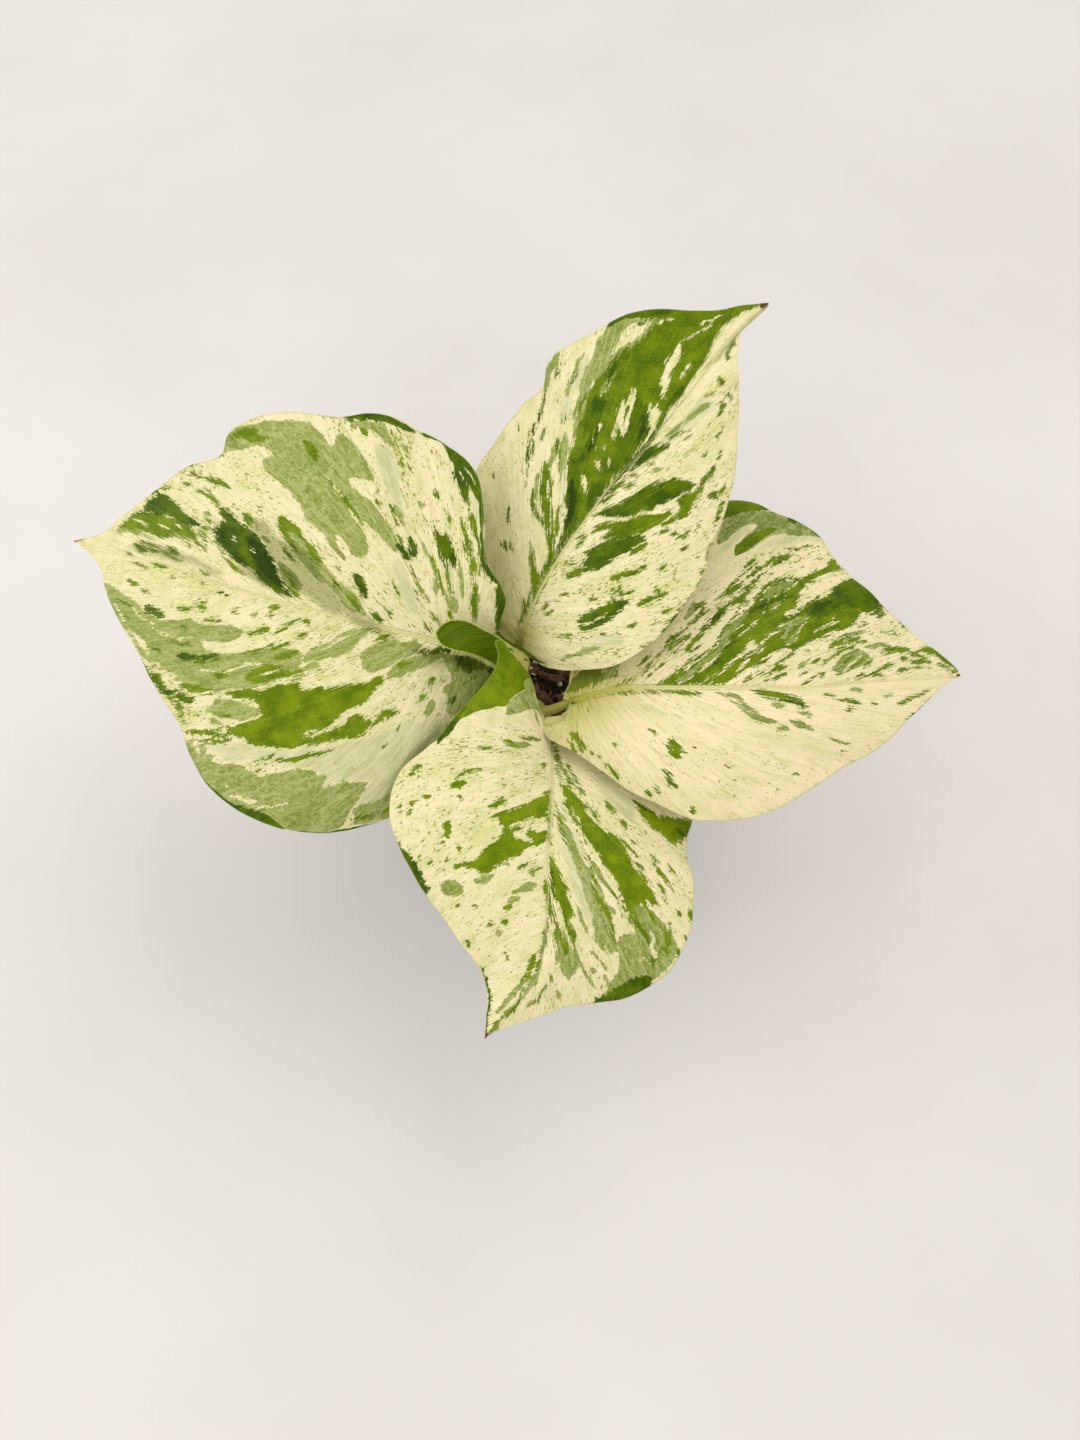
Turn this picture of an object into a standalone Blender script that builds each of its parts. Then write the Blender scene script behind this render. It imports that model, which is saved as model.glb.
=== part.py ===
"""Potted pothos: a young vine with four large variegated leaves and one leaf still half rolled, in a round nursery pot.

Metres, +Z up. The origin is the middle of the pot's foot, on the surface that it stands on.

Every blade is drawn as its outline looks from one point above the plant, EYE: each station gives where the point is seen
(across, down) and how high above the foot it is (millimetres). seen_point() turns that into a place in space.
"""

import math

import bmesh
import bpy
import numpy as np

MM = 0.001

# ---------------------------------------------------------------- driving dimensions (millimetres)
POT_HEIGHT = 88.0
POT_FOOT_R = 35.0
POT_WALL_TOP_R = 46.6
POT_BAND_R = 48.6
POT_BAND_Z = 74.0
POT_LIP_R = 51.0
POT_WALL = 1.5
POT_FLOOR = 1.8
DRAIN_HOLES = 6
DRAIN_HOLE_R = 3.2
DRAIN_RING_R = 20.0

GAP = 0.35  # between pieces that touch
MIX_TOP = 76.5
MIX_SWELL = 1.2  # how much the mix rises towards the stem

LEAF_THICK = 0.75
YOUNG_THICK = 0.7
STEM_R = 3.2
PETIOLE_R = 1.9

# ---------------------------------------------------------------- the point that outlines are drawn from
EYE = np.array((-2.0, -150.0, 364.0))
LOOK_DOWN = math.radians(63.0)
REACH = 1079.0
MIDDLE = (540.0, 720.0)


def seen_point(stations):
    """Places in millimetres of points seen at (across, down) at a given height."""
    s = np.asarray(stations, float)
    a, b = s[..., 0] - MIDDLE[0], s[..., 1] - MIDDLE[1]
    ray = np.stack(
        [
            a,
            REACH * math.cos(LOOK_DOWN) - b * math.sin(LOOK_DOWN),
            -(REACH * math.sin(LOOK_DOWN) + b * math.cos(LOOK_DOWN)),
        ],
        axis=-1,
    )
    t = (s[..., 2] - EYE[2]) / ray[..., 2]
    return EYE + ray * t[..., None]


def smooth_line(points, at):
    """A smooth curve through points, read at fractions of its length."""
    p = np.asarray(points, float)
    step = np.maximum(np.linalg.norm(np.diff(p[:, :2], axis=0), axis=1), 1e-6)
    knot = np.concatenate([[0.0], np.cumsum(step)])
    slope = np.empty_like(p)
    chord = np.diff(p, axis=0) / step[:, None]
    slope[0], slope[-1] = chord[0], chord[-1]
    for i in range(1, len(p) - 1):
        a, b = step[i - 1], step[i]
        slope[i] = (chord[i - 1] * b + chord[i] * a) / (a + b)
    x = np.clip(np.asarray(at, float), 0, 1) * knot[-1]
    k = np.clip(np.searchsorted(knot, x, side="right") - 1, 0, len(step) - 1)
    h = step[k][:, None]
    u = ((x - knot[k]) / step[k])[:, None]
    return (
        (2 * u**3 - 3 * u**2 + 1) * p[k]
        + (u**3 - 2 * u**2 + u) * h * slope[k]
        + (-2 * u**3 + 3 * u**2) * p[k + 1]
        + (u**3 - u**2) * h * slope[k + 1]
    )


# ---------------------------------------------------------------- the four blades
# midrib: base to tip. near / far: the two margins, from the notch at the base round the lobe to the tip.
# gather: how strongly the side veins crowd towards the base. arch: how far each half bows up (mm).
# hold: how long each half keeps the midrib's height before it falls to its margin's (1 is a straight slope).
LEAVES = {
    "leaf_left": dict(
        midrib=[
            (478, 652, 119), (455, 646, 122), (430, 640, 125), (400, 632, 127), (370, 625, 128.5), (335, 616, 129),
            (300, 607, 128.5), (240, 590, 126), (200, 578, 123.5), (170, 567, 121), (120, 553, 117), (72, 540, 112),
        ],
        far=[
            (486, 646, 121), (493, 638, 123), (498, 629, 126), (503, 615, 129), (506, 602, 132), (501, 586, 135), (489, 566, 138),
            (483, 539, 141), (482, 513, 143), (480, 483, 144), (468, 461, 145), (448, 446, 146), (421, 431, 147),
            (392, 417, 148), (368, 414, 149), (342, 418, 147), (305, 412, 146), (279, 412, 144), (252, 418, 141), (229, 433, 137),
            (221, 453, 134), (189, 466, 131), (150, 496, 124), (126, 513, 119.5), (100, 534, 114.5), (72, 540, 112),
        ],
        near=[
            (482, 664, 117), (487, 684, 113), (486, 705, 109), (478, 732, 105), (465, 758, 102), (445, 782, 100), (420, 802, 98.5),
            (390, 818, 98), (355, 829, 97.5), (322, 834, 97.5), (285, 829, 98), (246, 814, 99), (216, 795, 100), (196, 768, 102),
            (186, 745, 103.5), (178, 722, 104.5), (156, 688, 106.5), (136, 652, 108.5), (116, 615, 110.5), (106, 592, 112), (100, 566, 113), (90, 554, 112.5),
            (72, 540, 112),
        ],
        gather=1.7, arch=(3.5, 4.0), hold=(1.0, 1.25),
    ),
    "leaf_top": dict(
        midrib=[
            (519, 648, 114.5), (522, 636, 118), (535, 599, 127), (554, 564, 134), (578, 529, 141), (610, 486, 148), (648, 443, 155),
            (675, 409, 159), (715, 360, 164), (745, 325, 167), (769, 303, 168.5),
        ],
        far=[
            (516, 655, 113.5), (508, 660, 112.5), (496, 656, 112), (486, 642, 112), (478, 615, 112), (472, 585, 113), (468, 550, 115),
            (467, 515, 118), (470, 487, 122), (482, 462, 126), (500, 435, 131), (525, 403, 137), (542, 384, 141), (546, 366, 144), (554, 354, 147), (567, 347, 150),
            (594, 332, 156), (613, 321, 159), (637, 312, 162), (664, 309, 164.5), (693, 310, 166), (717, 310, 167), (744, 305, 168),
            (769, 303, 168.5),
        ],
        near=[
            (526, 655, 114.5), (541, 663, 117), (562, 670, 121.5), (584, 670, 126), (613, 666, 130.5), (642, 650, 134.5), (669, 626, 138),
            (685, 604, 141), (704, 575, 144), (712, 545, 147), (726, 510, 151), (734, 478, 154), (738, 441, 158), (739, 400, 161),
            (738, 360, 165), (742, 328, 167), (758, 310, 168.5), (769, 303, 168.5),
        ],
        gather=1.55, arch=(1.0, 3.0), hold=(3.2, 1.0),
    ),
    "leaf_right": dict(
        midrib=[
            (572, 702, 117.5), (590, 696, 120), (619, 689, 123.5), (650, 687, 126), (679, 687, 127), (745, 687, 128), (812, 687, 126),
            (878, 681, 122), (930, 678, 117.5), (962, 676, 114),
        ],
        far=[
            (569, 697, 118), (569, 683, 117.5), (572, 668, 117.5), (582, 645, 118.5), (600, 615, 120.5), (630, 575, 124), (662, 540, 127),
            (697, 512, 129.5), (730, 500, 131), (755, 503, 132.5), (778, 513, 133), (798, 521, 132.5), (815, 533, 132), (822, 541, 131.5), (832, 556, 130.5), (848, 573, 129),
            (871, 593, 126), (898, 619, 122), (928, 646, 118), (951, 664, 115), (962, 676, 114),
        ],
        near=[
            (563, 711, 118), (552, 722, 117), (546, 735, 116), (573, 749, 115.5), (603, 772, 114.5), (636, 795, 113.5), (666, 808, 112.5),
            (692, 818, 112), (709, 821, 112), (739, 820, 112), (772, 812, 112), (805, 792, 113), (845, 768, 114), (878, 749, 115),
            (911, 717, 115.5), (928, 700, 115), (944, 685, 114.5), (962, 676, 114),
        ],
        gather=1.6, arch=(3.0, 3.5), hold=(1.1, 1.2),
    ),
    "leaf_front": dict(
        midrib=[
            (552, 737, 108.5), (553, 760, 110.5), (553, 783, 111.5), (551, 831, 111.5), (548, 863, 109.5), (548, 904, 106), (545, 936, 102),
            (538, 975, 96.5), (513, 1006, 90), (484, 1040, 82),
        ],
        far=[
            (546, 727, 109.5), (542, 718, 112.5), (539, 705, 116.5), (537, 690, 121), (530, 675, 126), (520, 663, 130), (509, 650, 134),
            (501, 640, 136.5), (497, 640, 136.5), (498, 655, 135), (495, 668, 133), (485, 683, 130), (470, 700, 127), (450, 722, 123), (437, 738, 120),
            (424, 750, 117), (401, 770, 114), (392, 790, 112), (390, 815, 110), (397, 841, 108), (408, 866, 105.5), (424, 892, 102.5), (440, 914, 99.5),
            (462, 943, 95.5), (481, 971, 91.5), (487, 997, 88), (486, 1019, 85), (484, 1040, 82),
        ],
        near=[
            (562, 736, 107.5), (578, 738, 106), (602, 744, 104.5), (635, 758, 103.5), (665, 778, 103), (684, 800, 103), (692, 820, 103),
            (688, 837, 103.5), (687, 853, 103.5), (692, 872, 103), (694, 898, 101), (692, 923, 99), (682, 949, 96), (669, 971, 93),
            (647, 989, 91), (621, 1000, 89.5), (596, 1003, 88.5), (564, 1008, 87.5), (532, 1018, 86), (503, 1029, 84), (484, 1040, 82),
        ],
        gather=1.55, arch=(3.0, 3.0), hold=(1.15, 1.2),
    ),
}
BLADE_ROWS, BLADE_COLS = 19, 7

# The young blade: a boat-shaped sheet. Each row runs from its upper rim to its lower rim.
YOUNG_UPPER = [
    (532, 688, 104), (541, 680, 110), (544, 670, 119), (531, 661, 124), (509, 645, 129), (497, 637, 131.5), (482, 629, 133.5),
    (465, 621, 135.5), (452, 620.5, 136.5), (441, 626, 137), (436, 633, 137),
]
YOUNG_LOWER = [
    (519, 699, 103), (517, 693, 106.5), (514, 687, 111), (508, 679, 116), (501, 671, 121), (493, 664, 124.5), (480, 657, 128.5),
    (468, 653, 131.5), (455, 650, 134), (443, 645, 136), (437, 638, 137),
]
YOUNG_DEPTH = 3.6  # how far the boat's bottom lies below its rims
YOUNG_ROWS, YOUNG_COLS = 16, 8


def blade_points(leaf, rows, cols):
    """(rows + 1) x (2 cols + 1) points in millimetres: across each row from the far margin over the midrib to the near one."""
    s = np.linspace(0.0, 0.988, rows + 1)
    mid = smooth_line(leaf["midrib"], s ** leaf["gather"])
    along = np.gradient(mid[:, :2], axis=0)
    along /= np.maximum(np.linalg.norm(along, axis=1), 1e-9)[:, None]
    halves = []
    for side, name in enumerate(("far", "near")):
        edge = smooth_line(leaf[name], s)
        w = np.linspace(0.0, 1.0, cols + 1)[None, :, None]
        span = np.linalg.norm(edge[:, :2] - mid[:, :2], axis=1)
        bend = (mid + edge)[:, :2] / 2 - along * (0.10 * span * np.clip(s * 3, 0, 1))[:, None]
        xy = (1 - w) ** 2 * mid[:, None, :2] + 2 * w * (1 - w) * bend[:, None] + w**2 * edge[:, None, :2]
        fall = w[..., 0] ** leaf["hold"][side]
        swell = np.clip(np.sin(math.pi * np.clip(s * 1.15, 0, 1)), 0, 1) ** 0.7
        z = (1 - fall) * mid[:, 2:3] + fall * edge[:, 2:3] + leaf["arch"][side] * swell[:, None] * 4 * (w * (1 - w))[..., 0]
        halves.append(np.concatenate([xy, z[..., None]], axis=2))
    grid = np.concatenate([halves[0][:, :0:-1], halves[1]], axis=1)
    return seen_point(grid)


def young_points(rows, cols):
    s = np.linspace(0.0, 1.0, rows + 1)
    upper, lower = smooth_line(YOUNG_UPPER, s), smooth_line(YOUNG_LOWER, s)
    upper[:, 2] = np.interp(s, np.linspace(0, 1, 11), [p[2] for p in YOUNG_UPPER])
    lower[:, 2] = np.interp(s, np.linspace(0, 1, 11), [p[2] for p in YOUNG_LOWER])
    w = np.linspace(0.0, 1.0, cols + 1)[None, :, None]
    grid = (1 - w) * upper[:, None] + w * lower[:, None]
    depth = YOUNG_DEPTH * np.clip((1.03 - s) * 5, 0, 1) ** 0.5
    grid[..., 2] -= depth[:, None] * (4 * w * (1 - w))[..., 0] ** 0.6
    return seen_point(grid)


# ---------------------------------------------------------------- mesh helpers
def material(name, colour, roughness, metallic=0.0):
    m = bpy.data.materials.new(name)
    m.use_nodes = True
    shader = m.node_tree.nodes["Principled BSDF"]
    shader.inputs["Base Color"].default_value = (*colour, 1.0)
    shader.inputs["Roughness"].default_value = roughness
    shader.inputs["Metallic"].default_value = metallic
    m.diffuse_color = (*colour, 1.0)
    return m


def new_object(name, verts, faces, mat):
    mesh = bpy.data.meshes.new(name)
    mesh.from_pydata([tuple(v * MM) for v in np.asarray(verts)], [], faces)
    mesh.validate()
    mesh.materials.append(mat)
    obj = bpy.data.objects.new(name, mesh)
    bpy.context.scene.collection.objects.link(obj)
    bm = bmesh.new()
    bm.from_mesh(mesh)
    bmesh.ops.recalc_face_normals(bm, faces=bm.faces)
    bm.to_mesh(mesh)
    bm.free()
    mesh.shade_smooth()
    mesh.set_sharp_from_angle(angle=math.radians(40))
    return obj


def sheet_normals(points, rounds):
    """A smoothed unit normal at each point of a grid."""
    du, dv = np.gradient(points, axis=0), np.gradient(points, axis=1)
    n = np.cross(du, dv)
    n /= np.maximum(np.linalg.norm(n, axis=2), 1e-9)[..., None]
    for _ in range(rounds):
        p = np.pad(n, ((1, 1), (1, 1), (0, 0)), mode="edge")
        n = p[:-2, 1:-1] + p[2:, 1:-1] + p[1:-1, :-2] + p[1:-1, 2:] + 2 * n
        n /= np.maximum(np.linalg.norm(n, axis=2), 1e-9)[..., None]
    return n


def sheet(name, points, thick, mat, rounds=6):
    """A closed shell: the grid, its copy one thickness below, and a wall round the edge."""
    n = sheet_normals(points, rounds)
    if n[..., 2].mean() < 0:
        n = -n
    r, c = points.shape[:2]
    verts = np.concatenate([points.reshape(-1, 3), (points - n * thick).reshape(-1, 3)])
    at = np.arange(r * c).reshape(r, c)
    faces = []
    for i in range(r - 1):
        for j in range(c - 1):
            q = (at[i, j], at[i, j + 1], at[i + 1, j + 1], at[i + 1, j])
            faces.append(tuple(int(k) for k in q))
            faces.append(tuple(int(k) + r * c for k in reversed(q)))
    rim = [at[0, j] for j in range(c)] + [at[i, c - 1] for i in range(1, r)]
    rim += [at[r - 1, j] for j in range(c - 2, -1, -1)] + [at[i, 0] for i in range(r - 2, 0, -1)]
    for k, a in enumerate(rim):
        b = rim[(k + 1) % len(rim)]
        faces.append((int(b), int(a), int(a) + r * c, int(b) + r * c))
    return new_object(name, verts, faces, mat)


def turned(name, profile, steps, mat):
    """A body of revolution about Z. The profile starts and ends on the axis."""
    verts, faces = [], []
    rings = []
    for x, z in profile:
        if x < 1e-6:
            rings.append([len(verts)])
            verts.append((0.0, 0.0, z))
        else:
            rings.append(list(range(len(verts), len(verts) + steps)))
            verts += [
                (x * math.cos(2 * math.pi * k / steps), x * math.sin(2 * math.pi * k / steps), z) for k in range(steps)
            ]
    for lower, upper in zip(rings, rings[1:]):
        for k in range(steps):
            n = (k + 1) % steps
            if len(lower) == 1:
                faces.append((lower[0], upper[k], upper[n]))
            elif len(upper) == 1:
                faces.append((lower[k], upper[0], lower[n]))
            else:
                faces.append((lower[k], upper[k], upper[n], lower[n]))
    return new_object(name, verts, faces, mat)


def tube(name, path, radii, mat, sides=10, groove=0.0, count=14, face=(0.0, -1.0, 0.0)):
    """A stalk along a smooth path with a round section, or with a groove along the side that points to face at its start."""
    path = np.asarray(path, float)
    step = np.linalg.norm(np.diff(path, axis=0), axis=1)
    knot = np.concatenate([[0.0], np.cumsum(step)]) / step.sum()
    at = np.linspace(0, 1, count)
    degree = min(3, len(path) - 1)
    centre = np.stack([np.polyval(np.polyfit(knot, path[:, k], degree), at) for k in range(3)], axis=1)
    centre[0], centre[-1] = path[0], path[-1]
    radius = np.interp(at, np.linspace(0, 1, len(radii)), radii)
    verts, faces = [], []
    up = np.array(face, float)
    for i in range(count):
        ahead = centre[min(i + 1, count - 1)] - centre[max(i - 1, 0)]
        ahead /= np.linalg.norm(ahead)
        up = up - (up @ ahead) * ahead
        up /= np.linalg.norm(up)
        across = np.cross(ahead, up)
        for k in range(sides):
            turn = 2 * math.pi * k / sides
            r = radius[i] * (1 - groove * math.exp(-((math.remainder(turn, 2 * math.pi) / 0.6) ** 2)))
            verts.append(centre[i] + r * (math.cos(turn) * up + math.sin(turn) * across))
    for i in range(count - 1):
        for k in range(sides):
            n = (k + 1) % sides
            faces.append((i * sides + k, i * sides + n, (i + 1) * sides + n, (i + 1) * sides + k))
    faces.append(tuple(range(sides)))
    faces.append(tuple((count - 1) * sides + k for k in reversed(range(sides))))
    return new_object(name, verts, faces, mat)


def cut(obj, cutter):
    cutter.hide_render = True
    cutter.display_type = "WIRE"
    m = obj.modifiers.new("cut_" + cutter.name, "BOOLEAN")
    m.operation = "DIFFERENCE"
    m.solver = "EXACT"
    m.object = cutter


# ---------------------------------------------------------------- build
for old in list(bpy.data.objects):
    bpy.data.objects.remove(old, do_unlink=True)

pot_mat = material("pot_plastic", (0.012, 0.012, 0.013), 0.5)
mix_mat = material("mix_bark", (0.07, 0.035, 0.022), 0.95)
stem_mat = material("stem_green", (0.33, 0.42, 0.12), 0.5)
leaf_mat = material("leaf_variegated", (0.56, 0.62, 0.27), 0.42)
young_mat = material("leaf_young", (0.13, 0.26, 0.02), 0.4)

# Pot: foot pad and foot ring on the ground, a shallow channel between them with the drainage holes, a tapered wall,
# a wider band below the mouth and a rolled lip.
lip = 1.5
pot_profile = [
    (0.0, 0.0), (11.0, 0.0), (12.2, 1.2), (13.0, 1.6), (27.5, 1.6), (28.4, 1.2), (29.6, 0.0), (33.6, 0.0), (POT_FOOT_R, 1.2),
    (POT_WALL_TOP_R, POT_BAND_Z - 1.2), (POT_BAND_R, POT_BAND_Z), (POT_BAND_R + 1.0, POT_HEIGHT - 3.2),
    (POT_LIP_R - 0.2, POT_HEIGHT - 2.8), (POT_LIP_R, POT_HEIGHT - 1.9), (POT_LIP_R - 0.1, POT_HEIGHT - 0.8),
    (POT_LIP_R - 0.8, POT_HEIGHT - 0.1), (POT_LIP_R - 1.8, POT_HEIGHT), (POT_LIP_R - 2.7, POT_HEIGHT - 0.4),
    (POT_LIP_R - 3.1, POT_HEIGHT - 1.4), (POT_BAND_R - POT_WALL - 0.3, POT_BAND_Z + 0.6), (POT_WALL_TOP_R - POT_WALL, POT_BAND_Z - 1.8),
    (POT_FOOT_R - POT_WALL, 3.0 + POT_FLOOR), (POT_FOOT_R - 3.6, 1.2 + POT_FLOOR), (28.6, 1.2 + POT_FLOOR), (27.6, 1.7 + POT_FLOOR),
    (13.0, 1.7 + POT_FLOOR), (12.0, 1.2 + POT_FLOOR), (0.0, 1.2 + POT_FLOOR),
]
pot = turned("pot", pot_profile, 60, pot_mat)
for k in range(DRAIN_HOLES):
    turn = 2 * math.pi * (k + 0.5) / DRAIN_HOLES + 0.037
    bpy.ops.mesh.primitive_cylinder_add(
        vertices=16,
        radius=DRAIN_HOLE_R * MM,
        depth=10 * MM,
        location=(DRAIN_RING_R * MM * math.cos(turn), DRAIN_RING_R * MM * math.sin(turn), 2 * MM),
    )
    hole = bpy.context.object
    hole.name = f"drain_cutter_{k + 1}"
    cut(pot, hole)

# Potting mix: fills the pot to MIX_TOP, and is a little higher round the stem.
mix_foot = 3.4 + POT_FLOOR


def wall_inside(z):
    """Radius of the pot's inner wall at height z, less the gap."""
    inner = [
        (POT_FOOT_R - POT_WALL, 3.0 + POT_FLOOR), (POT_WALL_TOP_R - POT_WALL, POT_BAND_Z - 1.8),
        (POT_BAND_R - POT_WALL - 0.3, POT_BAND_Z + 0.6), (POT_LIP_R - 3.1, POT_HEIGHT - 1.4),
    ]
    return float(np.interp(z, [p[1] for p in inner], [p[0] for p in inner])) - GAP


mix_profile = [
    (0.0, mix_foot), (POT_FOOT_R - 4.2, mix_foot), (wall_inside(mix_foot + 1.6) - 0.2, mix_foot + 1.6),
    (wall_inside(POT_BAND_Z - 2.4) - 0.2, POT_BAND_Z - 2.4),
    (wall_inside(MIX_TOP - 0.6) - 1.4, MIX_TOP - 0.6), (wall_inside(MIX_TOP) - 3.0, MIX_TOP - 0.1), (30.0, MIX_TOP + 0.35), (16.0, MIX_TOP + 0.85),
    (0.0, MIX_TOP + MIX_SWELL),
]
mix = turned("potting_mix", mix_profile, 48, mix_mat)

# Stem: a short vine that rises from the mix and leans towards the front leaf.
stem_path = [(-9.5, 5.0, 60.0), (-8.5, 2.5, 74.0), (-7.2, -2.5, 87.5), (-6.1, -8.0, 98.0)]
stem = tube("stem", stem_path, [STEM_R, STEM_R + 0.3, STEM_R, STEM_R + 0.35, STEM_R - 0.5], stem_mat, sides=14, count=14)
socket = tube(
    "stem_socket_cutter",
    [(-9.65, 5.45, 59.0), (-8.5, 2.5, 74.0), (-7.2, -2.5, 87.5), (-6.0, -8.4, 98.8)],
    [STEM_R + 0.55, STEM_R + 0.8, STEM_R + 0.6, STEM_R + 0.8, STEM_R + 0.1],
    stem_mat,
    sides=14,
    count=14,
)
cut(mix, socket)

for name, leaf in LEAVES.items():
    sheet(name, blade_points(leaf, BLADE_ROWS, BLADE_COLS), LEAF_THICK, leaf_mat)
sheet("young_leaf", young_points(YOUNG_ROWS, YOUNG_COLS), YOUNG_THICK, young_mat, rounds=1)

# Petioles: each leaves the stem at a node and ends under its blade's base. The grooved side faces the stem.
PETIOLES = {
    "petiole_left": dict(start=(-7.9, 0.0, 81.5), via=(-19.5, 1.0, 97.0), leaf="leaf_left"),
    "petiole_top": dict(start=(-7.5, -1.6, 85.5), via=(-9.5, 5.0, 100.0), leaf="leaf_top"),
    "petiole_right": dict(start=(-7.2, -3.2, 89.0), via=(2.0, -9.0, 102.5), leaf="leaf_right"),
    "petiole_front": dict(start=(-6.7, -6.0, 93.5), via=(-3.5, -19.5, 99.0), leaf="leaf_front"),
}
for name, way in PETIOLES.items():
    base = seen_point(np.array(LEAVES[way["leaf"]]["midrib"][0], float) + (0, 0, -LEAF_THICK - 1.5))
    start, via = np.array(way["start"]), np.array(way["via"])
    stalk = tube(
        name,
        [start, start * 0.45 + via * 0.55, via, via * 0.4 + base * 0.6, base],
        [PETIOLE_R + 0.2, PETIOLE_R, PETIOLE_R - 0.2, PETIOLE_R - 0.4, PETIOLE_R - 0.6],
        stem_mat,
        sides=10,
        groove=0.28,
        count=13,
        face=start - via,
    )
    cut(stalk, socket)
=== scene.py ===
"""Looks of the potted pothos: four marbled leaves, a half rolled young leaf, petioles and stem, potting mix and pot.

The blades are drawn as in the model: a place is given as it is seen from one point above the plant (across, down), with
its height in millimetres. The markings are drawn in the same across/down frame, as strokes and patches.
"""

import math

import bmesh
import bpy
import numpy as np
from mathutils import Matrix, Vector, noise
from mathutils.bvhtree import BVHTree
from mathutils.kdtree import KDTree


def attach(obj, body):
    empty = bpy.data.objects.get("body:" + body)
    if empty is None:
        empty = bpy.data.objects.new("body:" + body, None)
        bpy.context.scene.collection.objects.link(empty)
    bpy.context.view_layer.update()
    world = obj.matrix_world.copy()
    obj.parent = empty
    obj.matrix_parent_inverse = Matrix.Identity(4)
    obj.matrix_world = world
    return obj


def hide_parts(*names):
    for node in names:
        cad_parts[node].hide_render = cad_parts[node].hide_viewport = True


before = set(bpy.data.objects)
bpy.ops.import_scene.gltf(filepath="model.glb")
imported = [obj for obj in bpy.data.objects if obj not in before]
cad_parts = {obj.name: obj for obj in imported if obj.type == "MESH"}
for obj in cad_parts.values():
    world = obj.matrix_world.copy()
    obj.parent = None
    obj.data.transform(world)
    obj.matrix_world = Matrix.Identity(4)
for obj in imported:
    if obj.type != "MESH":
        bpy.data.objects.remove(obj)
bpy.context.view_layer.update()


MM = 0.001

# ------------------------------------------------------------------------------------------------ the model's own tables
EYE = np.array((-2.0, -150.0, 364.0))
LOOK_DOWN = math.radians(63.0)
REACH = 1079.0
MIDDLE = (540.0, 720.0)

POT_HEIGHT, POT_FOOT_R, POT_WALL_TOP_R = 88.0, 35.0, 46.6
POT_BAND_R, POT_BAND_Z, POT_LIP_R = 48.6, 74.0, 51.0
POT_WALL, POT_FLOOR = 1.5, 1.8
MIX_TOP, MIX_SWELL = 76.5, 1.2
LEAF_THICK = 0.75

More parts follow.
